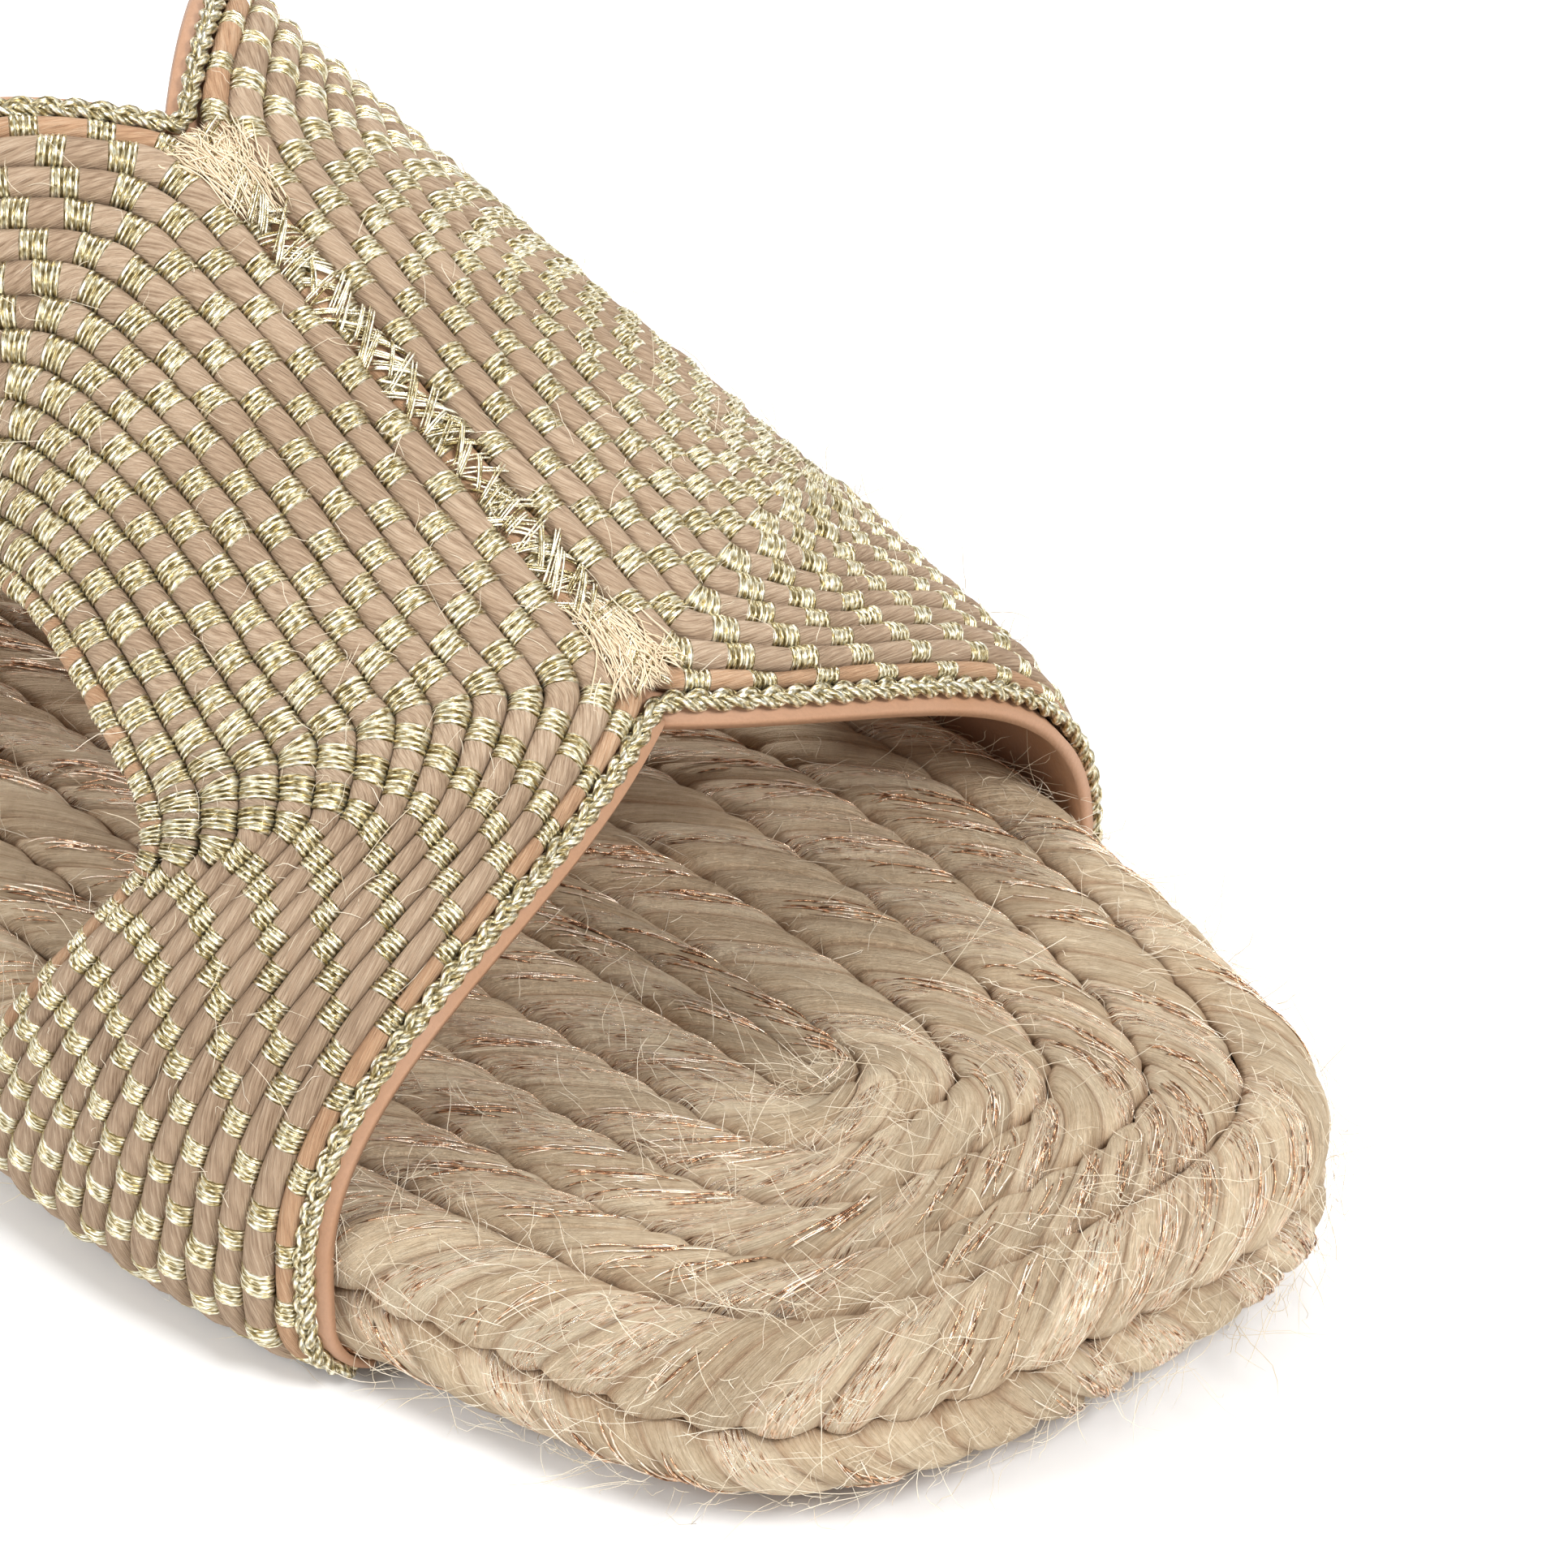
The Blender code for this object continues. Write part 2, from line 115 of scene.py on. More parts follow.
SOLE_FLOOR = OUTSOLE_THICKNESS + FIT_GAP
SOLE_TOP = SOLE_FLOOR + BRAID_HEIGHT
SHOULDER = SOLE_TOP - BRAID_ROUNDING
CURL_CENTRE = SOLE_FLOOR + BRAID_ROUNDING
CURL_GIRTH = CURL_ANGLE * (BRAID_ROUNDING + FIT_GAP)
TURNS = round(BALL_WIDTH / 2 / BRAID_WIDTH - 0.5) + 0.5
TAU = 2 * math.pi


def linear(red, green, blue):
    """A colour given as it shows on a screen, 0 to 255, as the linear values that shaders take."""
    return tuple(((value / 255 + 0.055) / 1.055) ** 2.4 for value in (red, green, blue))


def lerp(a, b, share):
    return a + (b - a) * share


def unit(vectors):
    return vectors / np.maximum(np.linalg.norm(vectors, axis=-1, keepdims=True), 1e-12)


def running_length(points):
    """The distance along a line of points, at each of them."""
    steps = np.linalg.norm(np.diff(points, axis=0), axis=1)
    return np.concatenate(([0.0], np.cumsum(steps)))


def spring_lift(t):
    """How far the toe's end rises off the ground."""
    share = np.maximum(0.0, 1 - t / TOE_SPRING_LENGTH)
    return TOE_SPRING * share * share


# The sole's outline and the coil inside it


def outline_curve(count):
    """The outline as arrays of x and t, on a closed Catmull-Rom curve through the table."""
    rows = np.array(OUTLINE) * (SOLE_LENGTH, BALL_WIDTH)
    place = np.arange(count) * len(rows) / count
    first = place.astype(int)
    s = (place - first)[:, None]
    p0, p1, p2, p3 = (rows[(first + k) % len(rows)] for k in (-1, 0, 1, 2))
    bend_terms = (2 * p0 - 5 * p1 + 4 * p2 - p3) * s**2 + (3 * p1 - p0 - 3 * p2 + p3) * s**3
    curve = (2 * p1 + (p2 - p0) * s + bend_terms) / 2
    return curve[:, 1], curve[:, 0]


def side_table(side):
    """The outline's (t, x) from the toe tip to the heel, on the inner (+1) or outer (-1) side."""
    x, t = outline_curve(2400)
    toe, heel = int(np.argmin(t)), int(np.argmax(t))
    span = np.arange(toe, heel + 1) if side > 0 else np.arange(heel, toe + len(t) + 1)
    t, x = t[span % len(t)], x[span % len(t)]
    order = np.argsort(t)
    return t[order], x[order]


SIDE_TABLES = {side: side_table(side) for side in (-1, 1)}


def side_x(t, side):
    return np.interp(t, *SIDE_TABLES[side])


def coil_middle(t):
    """The nearest point (x, t) of the line that the braid is wound round."""
    t = np.clip(t, COIL_START_INSET, SOLE_LENGTH - COIL_START_INSET)
    return (side_x(t, 1) + side_x(t, -1)) / 2, t


class CoilTurn:
    """One turn of the braid, whose middle lies at a share of the way in from the outline. Places
    along it are given as shares of its length, counted from the heel."""

    def __init__(self, share, strand_pitch):
        x, t = outline_curve(2400)
        start = int(np.argmax(t))
        order = np.append(np.arange(start, start + len(x)), start) % len(x)
        self.x, self.t = x[order], t[order]
        self.mid_x, self.mid_t = coil_middle(self.t)
        ring = np.stack((lerp(self.x, self.mid_x, share), lerp(self.t, self.mid_t, share)), axis=1)
        length = running_length(ring)
        self.place = length / length[-1]
        self.strands = int(round(length[-1] / strand_pitch))

    def edge(self, strand):
        """The outline's point, and the coil's middle beside it, at a place counted in strands."""
        share = (strand / self.strands) % 1.0
        return [np.interp(share, self.place, line) for line in (self.x, self.t, self.mid_x, self.mid_t)]


# The upper's inner face, as a surface over the last


class Last:
    """One side of the upper's inner face, as tables of x and height over station and girth."""

    STATION_STEP = 0.001
    GIRTH_STEP = 0.00025
    NORMAL_STEP = 0.0004
    OVERRUN = 0.02

    def __init__(self, side):
        self.side = side
        self.stations = np.arange(0.030, 0.205, self.STATION_STEP)
        self.girths = np.arange(-0.012, 0.160, self.GIRTH_STEP)
        self.full = np.zeros(len(self.stations))
        self.x = np.zeros((len(self.stations), len(self.girths)))
        self.z = np.zeros_like(self.x)
        for row, t in enumerate(self.stations):
            x, z = self.section(t)
            g = running_length(np.stack((x, z), axis=1))
            self.full[row] = g[-1]
            share = self.OVERRUN / (g[-1] - g[-2])
            g = np.concatenate(([-self.OVERRUN], g, [g[-1] + self.OVERRUN]))
            x = np.concatenate(([x[0] - side * self.OVERRUN], x, [x[-1] + (x[-1] - x[-2]) * share]))
            z = np.concatenate(([z[0]], z, [z[-1] + (z[-1] - z[-2]) * share]))
            self.x[row] = np.interp(self.girths, g, x)
            self.z[row] = np.interp(self.girths, g, z)

    def section(self, t):
        """Half of the inner face at a station, from the seam down to the curl's end."""
        x_edge = side_x(t, self.side) + self.side * FIT_GAP
        share = (t - FRONT_APEX) / (REAR_APEX - FRONT_APEX)
        clearance = lerp(FRONT_APEX_CLEARANCE, REAR_APEX_CLEARANCE, share)
        ridge = SOLE_TOP - BRAID_CROWN * 0.5 + clearance
        turn = np.linspace(0, math.pi / 2, 90)
        power = 2 / ARCH_ROUNDNESS
        arch_x = lerp(SEAM_SHIFT, x_edge, np.sin(turn) ** power)
        arch_z = lerp(SHOULDER, ridge, np.maximum(np.cos(turn), 0.0) ** power)
        radius = BRAID_ROUNDING + FIT_GAP
        curl = np.linspace(0, CURL_ANGLE, 16)
        curl_x = x_edge - self.side * radius * (1 - np.cos(curl))
        curl_z = CURL_CENTRE - radius * np.sin(curl)
        x, z = np.concatenate((arch_x, curl_x)), np.concatenate((arch_z, curl_z))
        return x, z + spring_lift(t)

    def full_girth(self, t):
        return np.interp(t, self.stations, self.full)

    def point(self, t, g):
        """Points of the inner face, between the table's own."""
        row = np.clip((t - self.stations[0]) / self.STATION_STEP, 0, len(self.stations) - 1.001)
        column = np.clip((g - self.girths[0]) / self.GIRTH_STEP, 0, len(self.girths) - 1.001)
        i, j = row.astype(int), column.astype(int)
        across, down = row - i, column - j
        values = []
        for table in (self.x, self.z):
            near = lerp(table[i, j], table[i, j + 1], down)
            far = lerp(table[i + 1, j], table[i + 1, j + 1], down)
            values.append(lerp(near, far, across))
        return np.stack((values[0], t - SOLE_LENGTH / 2, values[1]), axis=-1)

    def normal(self, t, g):
        """Unit normals out of the shoe."""
        step = self.NORMAL_STEP
        along = self.point(t + step, g) - self.point(t - step, g)
        down = self.point(t, g + step) - self.point(t, g - step)
        return unit(np.cross(along, down)) * -self.side

    def thickness_share(self, t, g):
        """The share of the wall's thickness that is left where it curls under the braid."""
        past = (g - self.full_girth(t) + CURL_GIRTH) / CURL_GIRTH
        return 1 - CURL_THINNING * np.clip(past, 0.0, 1.0)

    def wall(self, t, g, height):
        """Points at a height off the inner face, less where the wall thins."""
        lift = height * self.thickness_share(t, g)
        return self.point(t, g) + self.normal(t, g) * np.asarray(lift)[..., None]


LASTS = {side: Last(side) for side in (-1, 1)}

# The paths of the cords, as arrays of (t, g)
LOW_STEPS = 20
LEG_STEPS = 60
BEND_STEPS = 48
SEAM_STEPS = 20


def band_width(cord_width):
    return CORD_COUNT * cord_width + 2 * EDGE_CORD_WIDTH


def bend(before, corner, after, reach, roundness):
    """The points round a corner: sharp at the band's outer edge, and a smooth curve inside it."""
    start = lerp(corner, before, reach / math.dist(corner, before))
    end = lerp(corner, after, reach / math.dist(corner, after))
    s = np.linspace(0, 1, BEND_STEPS + 1)[:, None]
    sharp = np.where(s < 0.5, lerp(start, corner, 2 * s), lerp(corner, end, 2 * s - 1))
    smooth = lerp(lerp(start, corner, s), lerp(corner, end, s), s)
    return lerp(sharp, smooth, roundness)


def leg(foot_t, top, last):
    """A leg's points from its foot, round the curl and up the sole's side, to below its bend."""
    reach = CURL_GIRTH + SHOULDER - CURL_CENTRE
    length = math.dist((foot_t, last.full_girth(foot_t)), top)
    rest = np.linspace(0, reach, LOW_STEPS)
    t = lerp(foot_t, top[0], rest / length)
    low = np.stack((t, last.full_girth(t) - rest), axis=1)
    high = lerp(low[-1], top, np.arange(1, LEG_STEPS)[:, None] / LEG_STEPS)
    return np.concatenate((low, high))


def bowed(line, bend_g, bow):
    """The line moved along the foot by up to the bow, most at a third of the way down its leg."""
    share = np.clip((line[:, 1] - bend_g) / (line[:, 1].max() - bend_g), 0.0, 1.0)
    return np.stack((line[:, 0] + bow * 27 / 4 * share * (1 - share) ** 2, line[:, 1]), axis=1)


def band_line(q, side):
    """A line along the band at share q across it, from its outer edge (0), on the seam, to its
    inner edge (1), at the side window. It runs from the front foot to the rear foot."""
    last = LASTS[side]
    front_t, rear_t = lerp(*FRONT_LEG_FOOT, q), lerp(*REAR_LEG_FOOT, q)
    foot_f = np.array((front_t, last.full_girth(front_t)))
    foot_r = np.array((rear_t, last.full_girth(rear_t)))
    bend_f = np.array((lerp(FRONT_APEX, WINDOW_FRONT, q), q * band_width(FRONT_CORD_WIDTH)))
    bend_r = np.array((lerp(REAR_APEX, WINDOW_REAR, q), q * band_width(REAR_CORD_WIDTH)))
    seam = math.dist(bend_f, bend_r)
    roundness = min(1.0, 10 * q)
    front = bend(foot_f, bend_f, bend_r, min(lerp(*FRONT_BEND_REACH, q), 0.42 * seam), roundness)
    rear = bend(bend_f, bend_r, foot_r, min(lerp(*REAR_BEND_REACH, q), 0.52 * seam), roundness)
    middle = lerp(front[-1], rear[0], np.arange(1, SEAM_STEPS)[:, None] / SEAM_STEPS)
    front = np.concatenate((leg(front_t, front[0], last), front))
    rear = np.concatenate((rear, leg(rear_t, rear[-1], last)[::-1]))
    front = bowed(front, bend_f[1], -lerp(*FRONT_LEG_BOW, q))
    return np.concatenate((front, middle, bowed(rear, bend_r[1], lerp(*REAR_LEG_BOW, q))))


LEG_POINTS = LOW_STEPS + LEG_STEPS - 1
FRONT_CORNER = LEG_POINTS + BEND_STEPS // 2
REAR_CORNER = LEG_POINTS + BEND_STEPS + SEAM_STEPS + BEND_STEPS // 2


def cord_edges():
    """The share across the band at which each cord starts, and 1 at the end."""
    widths = [EDGE_CORD_WIDTH] + [FRONT_CORD_WIDTH] * CORD_COUNT + [EDGE_CORD_WIDTH]
    return [sum(widths[:k]) / sum(widths) for k in range(len(widths))] + [1.0]


def eased(points, rounds):
    """A line of points with its kinks eased, its ends kept."""
    points = points.copy()
    for _ in range(rounds):
        points[1:-1] = (points[:-2] + 2 * points[1:-1] + points[2:]) / 4
    return points


# Modelling


class GridPiece:
    """Gathers grids in one mesh. Each is bent into shape by its own function, which takes its
    columns and rows and gives the points, and a chart (two numbers for each point) as its UV map."""

    def __init__(self, name):
        self.name = name
        self.shell = bmesh.new()
        self.parts = []

    def add(self, columns, rows, shape, copies=1):
        """Adds grids of that many faces each way. For several copies, shape's answers have one
        row of values for each copy."""
        block = bmesh.new()
        bmesh.ops.create_grid(block, x_segments=columns, y_segments=rows, size=0.5)
        sizes = [len(group) for group in (block.verts, block.edges, block.faces)]
        made = 1
        while made < copies:
            more = min(made, copies - made)
            geometry = []
            for group, each in zip((block.verts, block.edges, block.faces), sizes):
                geometry += group[: more * each]
            bmesh.ops.duplicate(block, geom=geometry)
            made += more
        mesh = bpy.data.meshes.new("block")
        block.to_mesh(mesh)
        block.free()
        self.shell.from_mesh(mesh)
        bpy.data.meshes.remove(mesh)
        self.parts.append((columns, rows, copies, shape))

    def finish(self, material, slot, *nodes):
        """Bends the grids, closes them where they meet themselves, and links the piece."""
        mesh = bpy.data.meshes.new(self.name)
        self.shell.to_mesh(mesh)
        self.shell.free()
        points, charts = [], []
        for columns, rows, copies, shape in self.parts:
            column, row = np.meshgrid(np.arange(columns + 1), np.arange(rows + 1))
            place, chart = shape(column.ravel().astype(float), row.ravel().astype(float))
            points.append(np.asarray(place).reshape(-1, 3))
            charts.append(np.asarray(chart).reshape(-1, 2))
        mesh.vertices.foreach_set("co", np.concatenate(points).ravel())
        corners = np.empty(len(mesh.loops), dtype=np.int32)
        mesh.loops.foreach_get("vertex_index", corners)
        layer = mesh.uv_layers.new(name="chart")
        layer.data.foreach_set("uv", np.concatenate(charts)[corners].ravel())
        shell = bmesh.new()
        shell.from_mesh(mesh)
        edges = [vertex for vertex in shell.verts if vertex.is_boundary]
        bmesh.ops.remove_doubles(shell, verts=edges, dist=1e-6)
        bmesh.ops.recalc_face_normals(shell, faces=shell.faces)
        shell.to_mesh(mesh)
        shell.free()
        mesh.shade_smooth()
        mesh.materials.append(material)
        obj = bpy.data.objects.new(self.name, mesh)
        bpy.context.scene.collection.objects.link(obj)
        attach(obj, "root")
        if nodes:
            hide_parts(*nodes)
        return obj


def tube_shape(centre, across, up, half_width, half_height, charts, angles, lean=None):
    """A shape for GridPiece: a closed tube round a line of points, pinched shut at its ends. Its
    columns run round the section at the angles given, and its rows run along the line. Each ring
    may lean along the line."""
    along = np.cross(up, across)
    lean = np.zeros(len(centre)) if lean is None else lean
    def shape(column, row):
        k, m = row.astype(int), column.astype(int)
        turn = angles[m][:, None]
        ends = ((k > 0) & (k < len(centre) - 1))[:, None]
        aside = across[k] * half_width[k][:, None] * np.cos(turn)
        rise = up[k] * half_height[k][:, None] * np.sin(turn)
        aside += along[k] * lean[k][:, None] * np.cos(turn)
        chart = np.stack((column / (len(angles) - 1), charts[k]), axis=1)
        return centre[k] + (aside + rise) * ends, chart
    return shape


def add_threads(piece, paths, radius, sides):
    """Adds thin tapered tubes along paths, an array of (thread, point, xyz). Their chart holds the
    thread's number and the share along it."""
    count, steps = paths.shape[:2]
    along = unit(np.gradient(paths, axis=1))
    aside = unit(np.cross(along, np.array((0.31, 0.22, 0.92))))
    over = np.cross(along, aside)
    radius = np.broadcast_to(np.asarray(radius, dtype=float), (count,))

    def shape(column, row):
        k = row.astype(int)
        taper = np.where((k > 0) & (k < steps - 1), 1.0, 0.0)
        turn = (column / sides % 1.0) * TAU
        spread = aside[:, k] * np.cos(turn)[:, None] + over[:, k] * np.sin(turn)[:, None]
        number = np.repeat(np.arange(count)[:, None] + 0.5, len(row), axis=1)
        share = np.repeat((k / (steps - 1))[None], count, axis=0)
        return paths[:, k] + spread * (radius[:, None] * taper)[..., None], np.stack((number, share), axis=-1)

    piece.add(sides, steps - 1, shape, copies=count)


# Materials


class Wire:
    """A shader value. Sums on it add Math nodes to the finish that it belongs to."""

    def __init__(self, finish, socket):
        self.finish = finish
        self.socket = socket

    def math(self, operation, *others, first=None):
        values = [self if first is None else first, *others]
        return self.finish.node("ShaderNodeMath", {"operation": operation}, dict(enumerate(values)))

    def __add__(self, other):
        return self.math("ADD", other)

    def __radd__(self, other):
        return self.math("ADD", other)

    def __sub__(self, other):
        return self.math("SUBTRACT", other)

    def __rsub__(self, other):
        return self.math("SUBTRACT", self, first=other)

    def __mul__(self, other):
        return self.math("MULTIPLY", other)

    def __rmul__(self, other):
        return self.math("MULTIPLY", other)

    def __truediv__(self, other):
        return self.math("DIVIDE", other)

    def __pow__(self, other):
        return self.math("POWER", other)

    def __lt__(self, other):
        return self.math("LESS_THAN", other)

    def __gt__(self, other):
        return self.math("GREATER_THAN", other)

    def part(self):
        return self.math("FRACT")

    def whole(self):
        return self.math("FLOOR")

    def sine(self):
        return self.math("SINE")

    def size(self):
        return self.math("ABSOLUTE")

    def most(self, other):
        return self.math("MAXIMUM", other)

    def eased(self, low, high):
        """0 below the low value and 1 above the high one, with a smooth rise between them."""
        settings = {"interpolation_type": "SMOOTHSTEP"}
        return self.finish.node("ShaderNodeMapRange", settings, {"Value": self, "From Min": low, "From Max": high})


SHINE = {"roughness": "Roughness", "specular": "Specular IOR Level"}


class Finish:
    """A material whose surface is built up from wires."""

    def __init__(self, name, **constants):
        self.material = bpy.data.materials.new(name)
        self.material.use_nodes = True
        self.tree = self.material.node_tree
        self.surface = self.tree.nodes["Principled BSDF"]
        for socket, value in constants.items():
            self.surface.inputs[SHINE[socket]].default_value = value

    def node(self, kind, settings=None, values=None, output=0):
        """Adds a node with these settings and these values or wires on its inputs, and gives the
        wire from one output. The setting called stops holds a ramp's places and colours."""
        node = self.tree.nodes.new(kind)
        for name, value in (settings or {}).items():
            if name == "stops":
                ramp = node.color_ramp.elements
                while len(ramp) < len(value):
                    ramp.new(0.5)
                for stop, (place, colour) in zip(ramp, value):
                    stop.position = place
                    stop.color = (*colour, 1.0)
            else:
                setattr(node, name, value)
        for name, value in (values or {}).items():
            if isinstance(value, Wire):
                self.tree.links.new(value.socket, node.inputs[name])
            elif node.inputs[name].type == "RGBA":
                node.inputs[name].default_value = (*value, 1.0)
            else:
                node.inputs[name].default_value = value
        return Wire(self, node.outputs[output])

    def chart(self):
        """The two numbers of the piece's chart."""
        chart = self.node("ShaderNodeUVMap", {"uv_map": "chart"})
        split = self.node("ShaderNodeSeparateXYZ", None, {0: chart})
        return split, Wire(self, split.socket.node.outputs[1])

    def place(self):
        return self.node("ShaderNodeTexCoord", None, None, "Object")

    def vector(self, x, y, z=0.0):
        return self.node("ShaderNodeCombineXYZ", None, {0: x, 1: y, 2: z})

    def noise(self, vector, scale=1.0, detail=2.0, roughness=0.5, distortion=0.0):
        values = {"Vector": vector, "Scale": scale, "Detail": detail}
        values.update({"Roughness": roughness, "Distortion": distortion})
        return self.node("ShaderNodeTexNoise", None, values)

    def chance(self, vector):
        """An even random number for each vector."""
        return self.node("ShaderNodeTexWhiteNoise", {"noise_dimensions": "3D"}, {"Vector": vector})

    def blend(self, share, low, high):
        """A colour between two others."""
        return self.node("ShaderNodeMix", {"data_type": "RGBA"}, {0: share, 6: low, 7: high}, 2)

    def shaded(self, colour, amount):
        """A colour darkened or lightened by a number."""
        grey = self.node("ShaderNodeCombineColor", None, {0: amount, 1: amount, 2: amount})
        settings = {"data_type": "RGBA", "blend_type": "MULTIPLY"}
        return self.node("ShaderNodeMix", settings, {0: 1.0, 6: colour, 7: grey}, 2)

    def ramp(self, share, *stops):
        return self.node("ShaderNodeValToRGB", {"stops": stops}, {0: share})

    def bump(self, height, distance, strength=1.0, below=None):
        values = {"Height": height, "Distance": distance, "Strength": strength}
        if below is not None:
            values["Normal"] = below
        return self.node("ShaderNodeBump", None, values)

    def apply(self, **wires):
        """Feeds the surface's sockets, and gives the material."""
        for socket, wire in wires.items():
            self.tree.links.new(wire.socket, self.surface.inputs[socket.replace("_", " ").title()])
        return self.material


def strand_finish(colours):
    """Loose jute strands with bundles of rose-gold metallic threads. The chart counts strands across, with a
    whole number at each crease, and runs along each strand from 0 to 1 within every turn."""
    finish = Finish("braided_jute", specular=0.25)
    across, along = finish.chart()
    strand, turn = across.whole(), (along * 0.5).whole()
    inside, reach = across.part(), along - 2 * turn
    lot = finish.chance(finish.vector(strand, turn, 3.0))
    other = finish.chance(finish.vector(strand, turn, 8.0))
    fibres = finish.noise(finish.vector(across * 32, reach * 3.6, lot * 40), detail=4.0, roughness=0.68)
    wisps = finish.noise(finish.vector(across * 7, reach * 1.8, other * 30), detail=2.0)
    mottle = finish.noise(finish.place(), 70.0, 3.0)
    matting = finish.noise(finish.place(), 1100.0, 4.0, 0.75)
    tone = 0.5 * fibres + 0.2 * wisps + 0.12 * lot + 0.18 * matting
    jute = finish.ramp(tone, (0.36, colours.strand_dark), (0.5, colours.strand), (0.64, colours.strand_light))
    jute = finish.shaded(jute, 0.86 + 0.28 * mottle)
    rise = (4 * inside * (1 - inside)) ** 0.5
    crest = (4 * reach * (1 - reach)).most(0.0) ** 0.4
    # Painted shade: the jute is blended toward a darker crease colour down in the creases between strands, where
    # shade falls, and kept as it is on the open crests
    lit_share = rise.eased(0.05, 0.75) * crest.eased(0.1, 0.8)
    jute = finish.blend(0.55 * (1 - lit_share), jute, colours.crease_shade)
    band = 1 - ((inside - 0.3 - 0.4 * other).size() * 2.2).eased(0.5, 1.0)
    shine = finish.noise(finish.vector(across * 30, reach * 4.5, lot * 90), detail=2.0, roughness=0.7)
    bare = finish.noise(finish.vector(across * 2, reach * 3, other * 50), detail=1.0)
    metal = (lot > 0.5) * band * shine.eased(0.46, 0.54) * bare.eased(0.36, 0.48)
    glint = finish.noise(finish.vector(across * 36, reach * 12, 2.0), detail=1.0)
    foil = finish.ramp(glint, (0.36, colours.rose_gold_dark), (0.46, colours.rose_gold), (0.56, colours.rose_gold_light))
    # Painted shade: the metallic threads are darkened down in the creases
    foil = finish.shaded(foil, 0.6 + 0.5 * lit_share)
    relief = finish.bump(fibres + 0.4 * wisps + 0.4 * metal + 0.4 * matting, 0.0009, 0.85)
    return finish.apply(
        base_color=finish.blend(metal, jute, foil),
        metallic=metal * 0.85,
        roughness=0.88 - 0.64 * metal,
        normal=relief,
    )


def wrap_marks(finish, along):
    """Where the gold thread is wrapped: 1 in the first half of each ten of the chart."""
    return (along / 10).part() < 0.5


def gold_ramp(finish, spark, colours):
    return finish.ramp(spark, (0.38, colours.gold_dark), (0.5, colours.gold), (0.60, colours.gold_light))


def cord_finish(name, jute_colours, colours):
    """Twisted cord with gold thread wrapped round it. The chart runs once round the cord, and ten
    along for each wrap and the bare stretch after it, five windings in the wrap."""
    finish = Finish(name, specular=0.3)
    around, along = finish.chart()
    wrap = wrap_marks(finish, along)
    crest = 1 - 2 * (around - 0.5).size()
    lot = finish.chance(finish.vector((along / 5).whole(), 4.0, 1.0))
    twist = around * 3 - along * 0.123
    fibres = finish.noise(finish.vector(twist * 14, along * 0.3, lot * 30), detail=3.0, roughness=0.62)
    strands = finish.noise(finish.vector(twist * 4, along * 0.2, lot * 70), detail=1.0)
    tone = 0.04 + 0.64 * fibres + 0.2 * strands + 0.08 * lot
    jute = finish.ramp(tone, (0.33, jute_colours[0]), (0.5, jute_colours[1]), (0.66, jute_colours[2]))
    # Painted shade: the bare jute is darker down the cord's sides and lighter along its crest
    jute = finish.shaded(jute, 0.8 + 0.22 * crest.eased(0.25, 0.7))
    winding = (along.part() - 0.5).size() * 2
    spark = finish.noise(finish.vector(around * 9, along * 2.6, lot * 60), detail=2.0, roughness=0.6)
    gold = gold_ramp(finish, spark, colours)
    # Painted highlight and shade: the gold is lighter along the cord's crest and darker down its sides
    gold = finish.shaded(gold, 0.58 + 0.52 * crest.eased(0.25, 0.75))
    # Painted shade between the windings of each wrap
    gold = finish.shaded(gold, 1.0 - 0.38 * winding.eased(0.55, 1.0))
    windings = 1.1 - winding.eased(0.3, 1.0) + 0.4 * spark
    relief = finish.bump(wrap * windings + (1 - wrap) * (fibres + 0.5 * strands), 0.0003, 0.9)
    return finish.apply(
        base_color=finish.blend(wrap, jute, gold),
        metallic=wrap * 0.85,
        roughness=0.85 - wrap * (0.60 - 0.2 * spark),
        normal=relief,
    )


def gold_finish(colours):
    """Twisted metallic thread, with several fine threads side by side in each strand."""
    finish = Finish("gold_thread", specular=0.4)
    around, along = finish.chart()
    twist = (around * 3 + along * 0.9).part()
    spark = finish.noise(finish.vector(around * 7, along * 1.3, 3.0), detail=2.0, roughness=0.65)
    thread = (twist - 0.5).size() * 2
    # Painted shade between the fine threads of each strand
    gold = finish.shaded(gold_ramp(finish, spark, colours), 1.0 - 0.5 * thread.eased(0.45, 1.0))
    relief = finish.bump(1 - thread.eased(0.3, 1.0) + 0.3 * spark, 0.0002, 0.9)
    return finish.apply(base_color=gold, metallic=0.6 + 0.3 * spark, roughness=0.45 - 0.22 * spark, normal=relief)


def foil_finish(name, dark, middle, light):
    """Single metallic threads, with dull and glinting stretches along each."""
    finish = Finish(name, specular=0.4)
    number, along = finish.chart()
    lot = finish.chance(finish.vector(number.whole(), 2.0, 7.0))
    spark = finish.noise(finish.vector(lot * 80, along * 6, 1.0), detail=1.0)
    foil = finish.ramp(0.7 * spark + 0.3 * lot, (0.33, dark), (0.44, middle), (0.57, light))
    dents = finish.noise(finish.vector(lot * 60, along * 34, 4.0), detail=1.0)
    relief = finish.bump(dents, 0.00015, 0.6)
    return finish.apply(base_color=foil, metallic=0.95 - 0.3 * spark, roughness=0.16 + 0.2 * lot, normal=relief)


def hair_finish(name, low, high):
    """Single fibres, each of its own tone."""
    finish = Finish(name, roughness=0.7, specular=0.3)
    number, along = finish.chart()
    lot = finish.chance(finish.vector(number.whole(), 1.0, 5.0))
    tone = 0.8 * lot + 0.3 * finish.noise(finish.vector(number, along * 4), detail=1.0) - 0.05
    return finish.apply(base_color=finish.blend(tone, low, high))


